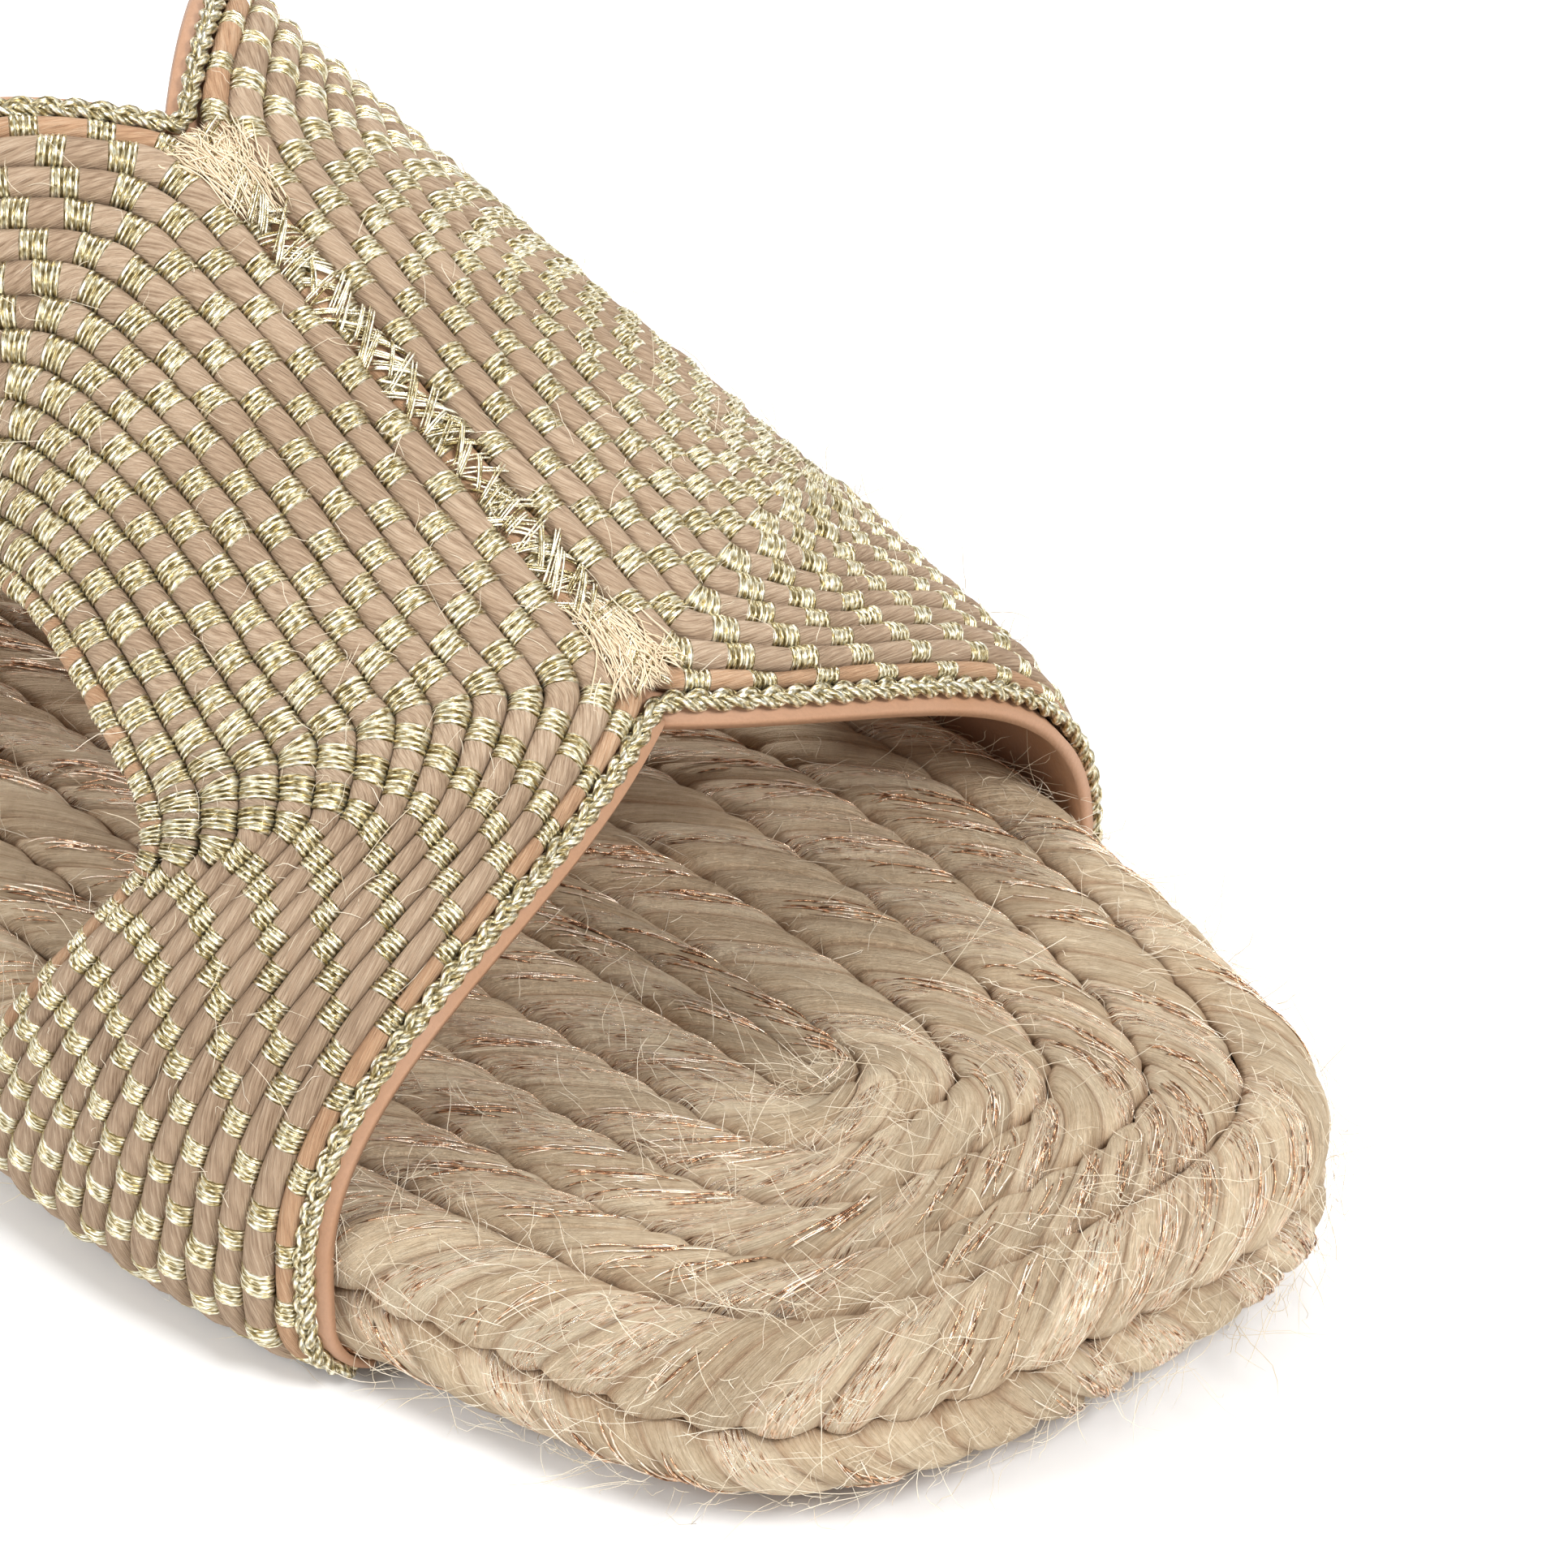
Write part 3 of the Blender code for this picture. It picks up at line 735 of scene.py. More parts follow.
def lining_finish(colours):
    """Smooth, thin leather with a fine grain."""
    finish = Finish("lining_leather", specular=0.4)
    grain = finish.noise(finish.place(), 2600.0, 3.0)
    cloud = finish.noise(finish.place(), 90.0, 3.0)
    colour = finish.shaded(finish.blend(cloud, colours.lining, colours.lining_dark), 0.9 + 0.2 * grain)
    return finish.apply(base_color=colour, roughness=0.48 + 0.2 * cloud, normal=finish.bump(grain, 0.0001, 0.5))


def outsole_finish(colours):
    """Tan sheet rubber with a faint mould grain and scuffs."""
    finish = Finish("outsole_sheet", specular=0.4)
    grain = finish.noise(finish.place(), 1500.0, 3.0)
    scuff = finish.noise(finish.place(), 120.0, 4.0)
    colour = finish.shaded(finish.blend(scuff, colours.outsole, colours.outsole_dark), 0.85 + 0.3 * grain)
    return finish.apply(base_color=colour, roughness=0.5 + 0.3 * scuff, normal=finish.bump(grain, 0.0002, 0.5))


# Properties


def length(name, description, default):
    return bpy.props.FloatProperty(name=name, description=description, default=default, unit="LENGTH", precision=5)


def colour(name, description, default):
    return bpy.props.FloatVectorProperty(
        name=name, description=description, default=default, subtype="COLOR", size=3, min=0.0, max=1.0
    )


class SandalSizes(bpy.types.PropertyGroup):
    wrap_pitch: length("Wrap pitch", "Distance between gold wraps along a straight cord", 0.0057)
    wrap_length: length("Wrap length", "Length of one gold wrap along its cord", 0.0025)
    bend_pitch: length("Bend wrap pitch", "Distance between gold wraps where the band bends", 0.0036)
    winding_relief: length("Winding relief", "How far each winding stands out of its wrap", 0.00012)
    top_strand_pitch: length("Top strand pitch", "Distance between strands along the top's turns", 0.0050)
    side_strand_pitch: length("Side strand pitch", "Distance between strands along the side", 0.0064)
    crease_depth: length("Crease depth", "Depth of the creases between the braid's strands", 0.0009)
    groove_depth: length("Groove depth", "Depth of the grooves between the braid's turns", 0.0018)
    chain_pitch: length("Chain pitch", "Length of one full crossing of the chain edging", 0.0072)
    fuzz_length: length("Fuzz length", "Length of the longest loose fibres", 0.0085)
    fuzz_count: bpy.props.IntProperty(
        name="Fuzz count", description="Number of loose fibres on the sole", default=6200, min=1
    )


class SandalColours(bpy.types.PropertyGroup):
    strand: colour("Strand", "Jute of the sole", linear(215, 193, 162))
    strand_light: colour("Pale strand", "Lightest jute of the sole", linear(240, 223, 194))
    strand_dark: colour("Dark strand", "Darkest jute of the sole", linear(182, 156, 125))
    # Painted shade: the colour that the sole's jute is blended toward down in its creases
    crease_shade: colour("Crease", "Jute down in the creases of the sole", linear(160, 118, 86))
    rose_gold: colour("Rose gold", "Metallic threads in the sole", linear(238, 192, 152))
    rose_gold_light: colour("Pale rose gold", "Metallic threads where they glint", linear(255, 238, 218))
    rose_gold_dark: colour("Dark rose gold", "Metallic threads in shade", linear(132, 92, 66))
    cord: colour("Cord", "Jute of the upper's cords", linear(162, 138, 114))
    cord_light: colour("Pale cord", "Lightest jute of the cords", linear(193, 171, 147))
    cord_dark: colour("Dark cord", "Darkest jute of the cords", linear(122, 98, 76))
    edge_cord: colour("Edge cord", "The band's two outermost cords", linear(180, 143, 111))
    edge_cord_light: colour("Pale edge cord", "Lightest tone of the edge cords", linear(202, 171, 141))
    edge_cord_dark: colour("Dark edge cord", "Darkest tone of the edge cords", linear(150, 112, 82))
    hair: colour("Hair", "Loose fibres", linear(216, 200, 172))
    hair_light: colour("Pale hair", "Lightest loose fibres", linear(246, 236, 216))
    gold: colour("Gold", "Metallic thread of the upper", linear(212, 198, 158))
    gold_light: colour("Pale gold", "Metallic thread where it glints", linear(255, 251, 230))
    gold_dark: colour("Dark gold", "Metallic thread in shade", linear(138, 120, 74))
    lining: colour("Lining", "Leather inside the upper", linear(184, 146, 120))
    lining_dark: colour("Dark lining", "Leather inside the upper, where worn", linear(170, 126, 92))
    outsole: colour("Outsole", "Rubber under the braid", linear(176, 132, 90))
    outsole_dark: colour("Dark outsole", "Rubber under the braid, where scuffed", linear(146, 104, 68))


class SandalStage(bpy.types.PropertyGroup):
    floor: colour("Floor", "The floor and backdrop", (0.93, 0.93, 0.93))
    azimuth: bpy.props.FloatProperty(
        name="Azimuth", description="Camera's turn about the shoe", default=math.radians(-43.031), subtype="ANGLE"
    )
    elevation: bpy.props.FloatProperty(
        name="Elevation", description="Camera's height over the floor", default=math.radians(36.802), subtype="ANGLE"
    )
    view_angle: bpy.props.FloatProperty(
        name="View angle", description="Camera's angle of view", default=math.radians(8.6665), subtype="ANGLE"
    )
    distance: length("Distance", "From the camera to the point that it looks at", 0.9)
    target: bpy.props.FloatVectorProperty(
        name="Target", description="Point the camera looks at", default=(0.0182, -0.0645, 0.03), subtype="TRANSLATION"
    )


# The braided sole

TURN_ROWS = 16
SIDE_ROWS = 22
STRAND_STEPS = 9
TONGUE = 0.0007


def strand_relief(phase, across, sizes, luck):
    """How far the braid's surface lies below its crest, and how far the strand's end is pushed
    along, at a place counted in strands and a share across the turn."""
    strand = np.floor(phase + 1e-6).astype(int)
    inside = np.clip(phase - strand, 0.0, 1.0) ** 0.88
    edge = np.abs(2 * across - 1)
    round_over = np.sin(math.pi * np.clip(inside, 0.0, 1.0)).clip(0.0) ** (0.5 + 0.7 * edge**3)
    crown = (1 - edge**2.6).clip(0.0) ** 0.5
    lot = luck[strand % len(luck)]
    depth = sizes.crease_depth * (1 - round_over) * (0.75 + 0.4 * lot[:, 0]) * (0.35 + 0.65 * crown)
    depth += sizes.groove_depth * (1 - crown)
    depth += 0.00045 * lot[:, 1] * round_over
    depth += 0.0004 * (inside - 0.5) * (lot[:, 2] - 0.5)
    return depth, round_over


def creased(phase, across, luck):
    """The phase with its creases made uneven."""
    first = np.floor(phase).astype(int)
    share = phase - first
    start, end = luck[first % len(luck)], luck[(first + 1) % len(luck)]
    wobble = [0.07 * np.sin(TAU * (0.7 * across + lot[:, 3])) + 0.30 * (lot[:, 4] - 0.5) for lot in (start, end)]
    return phase + lerp(*wobble, share)


def braid_turn(turn, first, last, slant, number, sizes, rng):
    """A shape for one turn of braid on the top, between two shares of the way in."""
    luck = rng.random((turn.strands, 5))

    def shape(column, row):
        phase = column / STRAND_STEPS
        level = row % (TURN_ROWS + 3)
        across = np.clip(np.where(level > TURN_ROWS + 1, 0.0, level / TURN_ROWS), 0.0, 1.0)
        under = level > TURN_ROWS
        depth, round_over = strand_relief(phase, across, sizes, luck)
        x, t, mid_x, mid_t = turn.edge(creased(phase % turn.strands, across, luck) + slant * across)
        scallop = TONGUE * (round_over - 0.6) * np.sign(2 * across - 1) * np.abs(2 * across - 1) ** 3
        reach = np.maximum(np.hypot(x - mid_x, t - mid_t), 1e-6)
        share = np.minimum(lerp(first, last, across) + scallop / reach * (number < 5), 1.0)
        x, t = lerp(x, mid_x, share), lerp(t, mid_t, share)
        z = SOLE_TOP + spring_lift(t) - np.where(under, 0.0055, depth)
        chart = np.stack((phase + 400 * number, across + 2 * number), axis=1)
        return np.stack((x, t - SOLE_LENGTH / 2, z), axis=1), chart

    return shape


def side_path(across, reach, upper):
    """The plain side under the braid's relief, as inset, height and the normal's angle: from the
    groove at its waist up over the shoulder, or from under the sole up to the waist."""
    arc = BRAID_ROUNDING * math.pi / 2
    if upper:
        straight = BRAID_HEIGHT - BRAID_ROUNDING - BRAID_WAIST_HEIGHT
        level = np.maximum(reach / TURNS - BRAID_ROUNDING, 0.0003)
        s = across * (straight + arc + level)
        turn = math.pi / 2 + np.clip(s - straight, 0, arc) / BRAID_ROUNDING
        past = np.maximum(s - straight - arc, 0.0)
        height = BRAID_WAIST_HEIGHT + np.minimum(s, straight) - BRAID_ROUNDING * np.cos(turn)
    else:
        level = 0.002
        straight = BRAID_WAIST_HEIGHT - BRAID_ROUNDING
        s = across * (level + arc + straight)
        turn = np.clip(s - level, 0, arc) / BRAID_ROUNDING
        past = np.maximum(level - s, 0.0)
        height = BRAID_ROUNDING * (1 - np.cos(turn)) + np.maximum(s - level - arc, 0.0)
    return BRAID_ROUNDING * (1 - np.sin(turn)) + past, height, turn


def side_turn(turn, upper, slant, number, sizes, rng):
    """A shape for one of the two rows of strands down the side."""
    luck = rng.random((turn.strands, 5))
    back = ((0.0062, 0.0125), (0.0050, 0.0085)) if upper else ((0.0050, 0.0080), (0.0085, 0.0028))

    def shape(column, row):
        phase = column / STRAND_STEPS
        level = row % (SIDE_ROWS + 3)
        across = np.clip(np.where(level > SIDE_ROWS + 1, 0.0, level / SIDE_ROWS), 0.0, 1.0)
        depth, round_over = strand_relief(phase, across, sizes, luck)
        swing = across**1.5 if upper else across
        x, t, mid_x, mid_t = turn.edge(creased(phase % turn.strands, across, luck) + slant * swing)
        reach = np.maximum(np.hypot(x - mid_x, t - mid_t), 1e-6)
        waist = across if not upper else 1 - across
        tongue = 1.5 * TONGUE * (round_over - 0.5) * waist**4 * (1 if not upper else -1)
        inset, height, angle = side_path(across, reach, upper)
        inset, height = inset + depth * np.sin(angle), height + depth * np.cos(angle) + tongue
        for k, (back_inset, back_height) in enumerate(back):
            inset = np.where(level == SIDE_ROWS + 1 + k, back_inset, inset)
            height = np.where(level == SIDE_ROWS + 1 + k, back_height, height)
        x, t = lerp(x, mid_x, inset / reach), lerp(t, mid_t, inset / reach)
        z = SOLE_FLOOR + spring_lift(t) + np.maximum(height, 0.0)
        chart = np.stack((phase + 400 * number, across + 2 * number), axis=1)
        return np.stack((x, t - SOLE_LENGTH / 2, z), axis=1), chart

    return shape


METALLIC_SHARE = 0.54
METALLIC_POINTS = 6


def metallic_threads(shape, strands, rows, level, rng):
    """Bundles of metallic threads that follow some of a turn's strands, as paths of threads. The
    level is a height inside the braid, which they lie outside of."""
    steps = np.linspace(0, 1, METALLIC_POINTS)
    phases, places, lifts = [], [], []
    for strand in range(strands):
        middle = rng.uniform(0.3, 0.7)
        for _ in range(rng.integers(7, 18) if rng.random() < METALLIC_SHARE else 0):
            offset = middle + rng.normal(0, 0.17) + rng.normal(0, 0.07) * (2 * steps - 1)
            phases.append(strand + np.clip(offset, 0.05, 0.95))
            start = rng.uniform(0.03, 0.60)
            places.append(lerp(start, start + rng.uniform(0.25, 0.37), steps))
            lifts.append(0.00004 + rng.uniform(0, 0.00022) * np.sin(math.pi * steps))
    phases, places, lifts = np.array(phases), np.array(places), np.array(lifts)

    def surface(phase_step, place_step):
        column, row = (phases + phase_step) * STRAND_STEPS, (places + place_step) * rows
        return shape(column.ravel(), row.ravel())[0].reshape(*phases.shape, 3)

    points = surface(0, 0)
    slopes = surface(0.02, 0) - surface(-0.02, 0), surface(0, 0.01) - surface(0, -0.01)
    normals = unit(np.cross(*slopes))
    centre = np.zeros_like(points)
    centre[..., 1] = np.clip(points[..., 1], COIL_START_INSET - SOLE_LENGTH / 2, SOLE_LENGTH / 2 - COIL_START_INSET)
    centre[..., 2] = level
    normals *= np.sign(np.sum(normals * (points - centre), axis=-1, keepdims=True))
    return points + normals * lifts[..., None]


class SANDAL_OT_rope_sole(bpy.types.Operator):
    """Braids the jute sole, with its metallic threads: the turns on top, and the strands down the side"""

    bl_idname = "sandal.rope_sole"
    bl_label = "Rope Sole"

    def execute(self, context):
        sizes, colours = context.scene.sandal_sizes, context.scene.sandal_colours
        rng = np.random.default_rng(11)
        material = strand_finish(colours)
        bundles = []
        side = GridPiece("rope_sole_side")
        for number, upper in ((0, True), (1, False)):
            turn = CoilTurn(0.0, sizes.side_strand_pitch)
            slant = 1.9 if upper else -1.5
            shape = side_turn(turn, upper, slant, number, sizes, rng)
            side.add(turn.strands * STRAND_STEPS, SIDE_ROWS + 3, shape)
            bundles.append(metallic_threads(shape, turn.strands, SIDE_ROWS, BRAID_WAIST_HEIGHT, rng))
        side.finish(material, "rope_sole", "rope_sole")
        top = GridPiece("rope_sole_top")
        for number in range(1, int(TURNS) + 1):
            first, last = number / TURNS, min((number + 1) / TURNS, 1.0)
            turn = CoilTurn((first + last) / 2, sizes.top_strand_pitch)
            shape = braid_turn(turn, first, last, 2.1, number + 1, sizes, rng)
            top.add(turn.strands * STRAND_STEPS, TURN_ROWS + 3, shape)
            bundles.append(metallic_threads(shape, turn.strands, TURN_ROWS, -SOLE_TOP, rng))
        top.finish(material, "rope_sole", "rope_sole")
        threads = GridPiece("sole_metallic_threads")
        paths = np.concatenate(bundles)
        add_threads(threads, paths, rng.uniform(0.00006, 0.00012, len(paths)), 3)
        material = foil_finish("rose_gold_thread", colours.rose_gold_dark, colours.rose_gold, colours.rose_gold_light)
        threads.finish(material, "rope_sole")
        return {"FINISHED"}


# The upper

WINDINGS = 5
BARE_STEPS = 4
CORD_ANGLES = np.radians((-90, -25, 5, 33, 61, 90, 119, 147, 175, 205, 270))


class Band:
    """One side's band, divided evenly among its cords at each point along it, and the cords'
    common measure: how many wraps lie before each point."""

    LINES = 60

    def __init__(self, side, sizes):
        self.side = side
        self.lines = np.array([band_line(q, side) for q in np.linspace(0, 1, self.LINES + 1)])
        points = LASTS[side].point(self.lines[..., 0], self.lines[..., 1])
        along = unit(np.gradient(points, axis=1))
        steps = np.diff(points, axis=0)
        run = (along[1:] + along[:-1]) / 2
        steps = np.linalg.norm(steps - run * np.sum(steps * run, axis=2, keepdims=True), axis=2)
        spread = np.concatenate((np.zeros((1, steps.shape[1])), np.cumsum(steps, axis=0)))
        self.spread = spread / spread[-1]
        line = band_line(0.5, side)
        length = running_length(LASTS[side].point(line[:, 0], line[:, 1]))
        pitch = np.full(len(length), sizes.wrap_pitch)
        for corner, spread in ((FRONT_CORNER, 0.013), (REAR_CORNER, 0.015)):
            closeness = np.exp(-(((length - length[corner]) / spread) ** 2))
            pitch -= (sizes.wrap_pitch - sizes.bend_pitch) * closeness
        steps = np.diff(length) * 2 / (pitch[1:] + pitch[:-1])
        self.wraps = np.concatenate(([0.0], np.cumsum(steps)))

    def line(self, share):
        """The line (t, g) that has this share of the band's width beside it, all along."""
        points = []
        for spread, across in zip(self.spread.T, self.lines.transpose(1, 2, 0)):
            points.append([np.interp(share, spread, values) for values in across])
        return eased(np.array(points), 4)

    def cord_frame(self, start, end, height):
        """A cord's middle line, with its directions across and up, and its width, between two
        shares across the band."""
        last = LASTS[self.side]
        line = self.line((start + end) / 2)
        t, g = line[:, 0], line[:, 1]
        centre = eased(last.wall(t, g, LINING_THICKNESS + height / 2), 8)
        edges = [last.wall(*self.line(q).T, LINING_THICKNESS + height / 2) for q in (start, end)]
        along = unit(np.gradient(centre, axis=0))
        across = unit(np.cross(along, last.normal(t, g)))
        up = np.cross(across, along)
        width = np.abs(np.sum((edges[1] - edges[0]) * across, axis=1))
        width = eased(width[:, None], 8)[:, 0]
        return centre, across, up, width, last.thickness_share(t, g)


def cord_rings(band, centre, offset, wrap_length):
    """The rings along a cord, as places on its line, how full the cord is there, and the chart."""
    length = running_length(centre)
    pitch = np.gradient(length) / np.gradient(band.wraps)
    places, girths, charts = [], [], []
    for number in range(int(band.wraps[-1]) + 2):
        middle = number + offset
        share = np.clip(wrap_length / np.interp(middle, band.wraps, pitch), 0.25, 0.80)
        for k in range(2 * WINDINGS + 1):
            places.append(middle + share * (k / 2 / WINDINGS - 0.5))
            girths.append(-1.0 if k % 2 else 0.0)
            charts.append(10 * number + 5 * k / 2 / WINDINGS)
        for k in range(1, BARE_STEPS):
            places.append(middle + share / 2 + (1 - share) * k / BARE_STEPS)
            girths.append(math.sin(math.pi * k / BARE_STEPS) ** 0.6)
            charts.append(10 * number + 5 + 5 * k / BARE_STEPS)
    places, girths, charts = np.array(places), np.array(girths), np.array(charts)
    kept = (places > 0.02) & (places < band.wraps[-1] - 0.02)
    places, girths, charts = places[kept], girths[kept], charts[kept]
    ends = (0.0, band.wraps[-1])
    places = np.concatenate((ends[:1], places, ends[1:]))
    girths = np.concatenate((girths[:1], girths, girths[-1:]))
    charts = np.concatenate((charts[:1] - 0.1, charts, charts[-1:] + 0.1))
    return places, girths, charts


def add_cord(piece, band, start, end, height, offset, sizes, rng):
    """Adds one cord of the band, with its wraps and the bare stretches that swell between them."""
    centre, across, up, width, thinning = band.cord_frame(start, end, height)
    places, girths, charts = cord_rings(band, centre, offset, sizes.wrap_length)
    index = np.interp(places, band.wraps, np.arange(len(band.wraps)))

    def along(values):
        first = np.minimum(index.astype(int), len(values) - 2)
        share = index - first
        share = share if values.ndim == 1 else share[:, None]
        return lerp(values[first], values[first + 1], share)

    relief = sizes.winding_relief
    swell = np.where(girths < 0, relief, 0.0) + np.where(girths > 0, 0.00010 * girths - 0.00008, 0.0)
    wander = eased(rng.normal(0, 0.0006, len(places))[:, None], 12)[:, 0]
    half_width = along(width) * 0.5 + 0.00006 + swell + wander * 0.2
    half_height = (height / 2 - 0.00014 + swell + wander * 0.2) * along(thinning)
    line = along(centre) + along(up) * (wander * 0.4)[:, None]
    lean = 0.00016 * np.sin(np.floor(charts / 10) * 2.4 + offset * 9) + rng.normal(0, 0.00003, len(places))
    shape = tube_shape(line, along(across), along(up), half_width, half_height, charts, CORD_ANGLES, lean)
    piece.add(len(CORD_ANGLES) - 1, len(places) - 1, shape)


class SANDAL_OT_cords(bpy.types.Operator):
    """Lays the jute cords of both bands, wrapped with gold thread, and the tan cords at their edges"""

    bl_idname = "sandal.cords"
    bl_label = "Wrapped Cords"

    def execute(self, context):
        sizes, colours = context.scene.sandal_sizes, context.scene.sandal_colours
        tones = (colours.cord_dark, colours.cord, colours.cord_light)
        cord_material = cord_finish("wrapped_cord", tones, colours)
        tones = (colours.edge_cord_dark, colours.edge_cord, colours.edge_cord_light)
        edge_material = cord_finish("edge_cord", tones, colours)
        edges = cord_edges()
        edge_piece = GridPiece("edge_cords")
        for side, name in ((-1, "outer_side_cords"), (1, "inner_side_cords")):
            rng = np.random.default_rng(20 + side)
            band = Band(side, sizes)
            piece = GridPiece(name)
            for cord in range(len(edges) - 1):
                offset = 0.5 * (cord % 2) + rng.uniform(-0.07, 0.07) - 0.5
                if 0 < cord < len(edges) - 2:
                    add_cord(piece, band, edges[cord], edges[cord + 1], CORD_HEIGHT, offset, sizes, rng)
                else:
                    add_cord(edge_piece, band, edges[cord], edges[cord + 1], EDGE_CORD_HEIGHT, offset, sizes, rng)
            piece.finish(cord_material, "upper", "upper")
        edge_piece.finish(edge_material, "upper", "upper")
        return {"FINISHED"}


LINING_SET_BACK = 0.0006
LINING_COLUMNS = 12


def edge_line(side, away):
    """The band's outer edge on one side, moved off the band by a distance, but not on the seam."""
    line = band_line(0.0, side)
    step = np.gradient(line, axis=0)
    step /= np.maximum(np.linalg.norm(step, axis=1, keepdims=True), 1e-9)
    k = np.arange(len(line))
    beyond = np.where((k <= FRONT_CORNER) | (k >= REAR_CORNER), away, 0.0)
    moved = line + np.stack((step[:, 1], -step[:, 0]), axis=1) * beyond[:, None]
    moved[:, 1] = np.maximum(moved[:, 1], 0.0)
    return moved


def lining_shape(side, lines):
    """A shape for a sheet along these lines of the wall, closed over its thickness."""
    last, count, length = LASTS[side], len(lines), lines.shape[1]

    def shape(column, row):
        k = row.astype(int)
        level = column.astype(int) % (2 * count)
        j = np.where(level < count, level, 2 * count - 1 - level)
        t, g = lines[j, np.clip(k - 1, 0, length - 1)].T
        height = np.where(level < count, 0.0, LINING_THICKNESS)
        height = np.where((k == 0) | (k == length + 1), LINING_THICKNESS / 2, height)
        return last.wall(t, g, height), np.stack((column, row), axis=1)

    return shape


class SANDAL_OT_lining(bpy.types.Operator):
    """Lines both bands with thin leather, whose edge shows under the chain edging"""

    bl_idname = "sandal.lining"
    bl_label = "Lining"

    def execute(self, context):
        piece = GridPiece("lining")
        reach = FIT_GAP + EDGING_WIDTH - LINING_SET_BACK
        for side in (-1, 1):
            lines = [edge_line(side, reach)]
            lines += [band_line(k / LINING_COLUMNS, side) for k in range(LINING_COLUMNS + 1)]
            lines = np.array(lines)
            piece.add(2 * len(lines), lines.shape[1] + 1, lining_shape(side, lines))
        piece.finish(lining_finish(context.scene.sandal_colours), "lining", "upper")
        return {"FINISHED"}


CHAIN_RADIUS = 0.00045
CHAIN_SWING = 0.00062
CHAIN_DIP = 0.00036
CHAIN_STEP = 0.00048
CHAIN_INSET = 0.0006


def chain_line(front):
    """The edging's middle line from the outer foot over the seam to the inner foot, as points and
    the wall's normals there."""
    halves = []
    for side in (-1, 1):
        line = edge_line(side, FIT_GAP + CHAIN_INSET)
        line = line[: FRONT_CORNER + 1] if front else line[: REAR_CORNER - 1 : -1]
        line = line[line[:, 1] > EDGING_WIDTH * 0.6]
        near, last = line[-6], line[-1]
        t_seam = last[0] + (last[0] - near[0]) * last[1] / (near[1] - last[1])
        line = np.concatenate((line, [(t_seam, 0.0)]))
        surface = LASTS[side]
        height = lerp(LINING_THICKNESS, EDGING_HEIGHT, 0.5)
        centre = surface.wall(line[:, 0], line[:, 1], height)
        halves.append((centre, surface.normal(line[:, 0], np.maximum(line[:, 1], 0.001))))
    (outer, outer_up), (inner, inner_up) = halves
    middle = (outer[-1] + inner[-1]) / 2
    points = np.concatenate((outer[:-1], [middle], inner[-2::-1]))
    normals = np.concatenate((outer_up[:-1], [(outer_up[-1] + inner_up[-1]) / 2], inner_up[-2::-1]))
    length = running_length(points)
    even = np.linspace(0, length[-1], int(length[-1] / CHAIN_STEP))
    points = np.stack([np.interp(even, length, points[:, axis]) for axis in range(3)], axis=1)
    normals = np.stack([np.interp(even, length, normals[:, axis]) for axis in range(3)], axis=1)
    return eased(points, 10), unit(eased(normals, 10)), even


def add_chain(piece, front, pitch):
    """Adds three strands of gold thread, plaited along one edge."""
    centre, normal, length = chain_line(front)
    along = unit(np.gradient(centre, axis=0))
    across = unit(np.cross(along, normal))
    up = np.cross(across, along)
    angles = np.linspace(0, TAU, 9)
    for strand in range(3):
        turn = TAU * (length / pitch + strand / 3)
        swing = CHAIN_SWING * np.sin(turn)
        dip = CHAIN_DIP * np.sin(2 * turn)
        line = centre + across * swing[:, None] + up * dip[:, None]
        run = unit(np.gradient(line, axis=0))
        beside = unit(np.cross(run, up))
        over = np.cross(beside, run)
        thick = np.full(len(line), CHAIN_RADIUS)
        charts = length * 1000 + 500 * strand
        piece.add(8, len(line) - 1, tube_shape(line, beside, over, thick, thick, charts, angles))


class SANDAL_OT_edging(bpy.types.Operator):
    """Crochets the gold chain along the upper's front and rear edges"""

    bl_idname = "sandal.edging"
    bl_label = "Chain Edging"

    def execute(self, context):
        material = gold_finish(context.scene.sandal_colours)
        for front, name, node in ((True, "front_chain", "front_edging"), (False, "rear_chain", "rear_edging")):
            piece = GridPiece(name)
            add_chain(piece, front, context.scene.sandal_sizes.chain_pitch)
            piece.finish(material, "edging", node)
        return {"FINISHED"}


STITCH_PITCH = 0.0013
STITCH_REACH = 0.0020
THREAD_RADIUS = 0.0001
TUFT_COUNT = 300


def across_seam(t, g, height):
    """Points on the upper at signed girths, below 0 on the outer side and above 0 on the inner."""
    outer = LASTS[-1].wall(t, np.maximum(-g, 0.0), height)
    inner = LASTS[1].wall(t, np.maximum(g, 0.0), height)
    return np.where((g < 0)[..., None], outer, inner)


def seam_stitches(rng):
    """Crossed stitches over the seam, as paths of threads, three or four side by side in each."""
    paths = []
    steps = np.linspace(0, 1, 9)
    stations = np.arange(FRONT_APEX + 0.001, REAR_APEX - 0.001, STITCH_PITCH)
    for station in stations:
        for lean in (-1, 1):
            skew = lean * rng.uniform(0.0004, 0.0022)
            width = STITCH_REACH * rng.uniform(0.7, 1.35)
            middle = rng.uniform(-0.0006, 0.0006)
            for thread in range(rng.integers(2, 5)):
                shift = station + thread * 0.00026 + rng.uniform(-0.0001, 0.0001)
                t = shift + skew * (2 * steps - 1)
                g = middle + width * (2 * steps - 1) * rng.uniform(0.9, 1.1)
                arch = np.sin(math.pi * steps) ** 0.5
                height = 0.0030 + (0.0009 + 0.0002 * lean) * arch + rng.uniform(0, 0.0002)
                paths.append(across_seam(t, g, height))
    return np.array(paths)


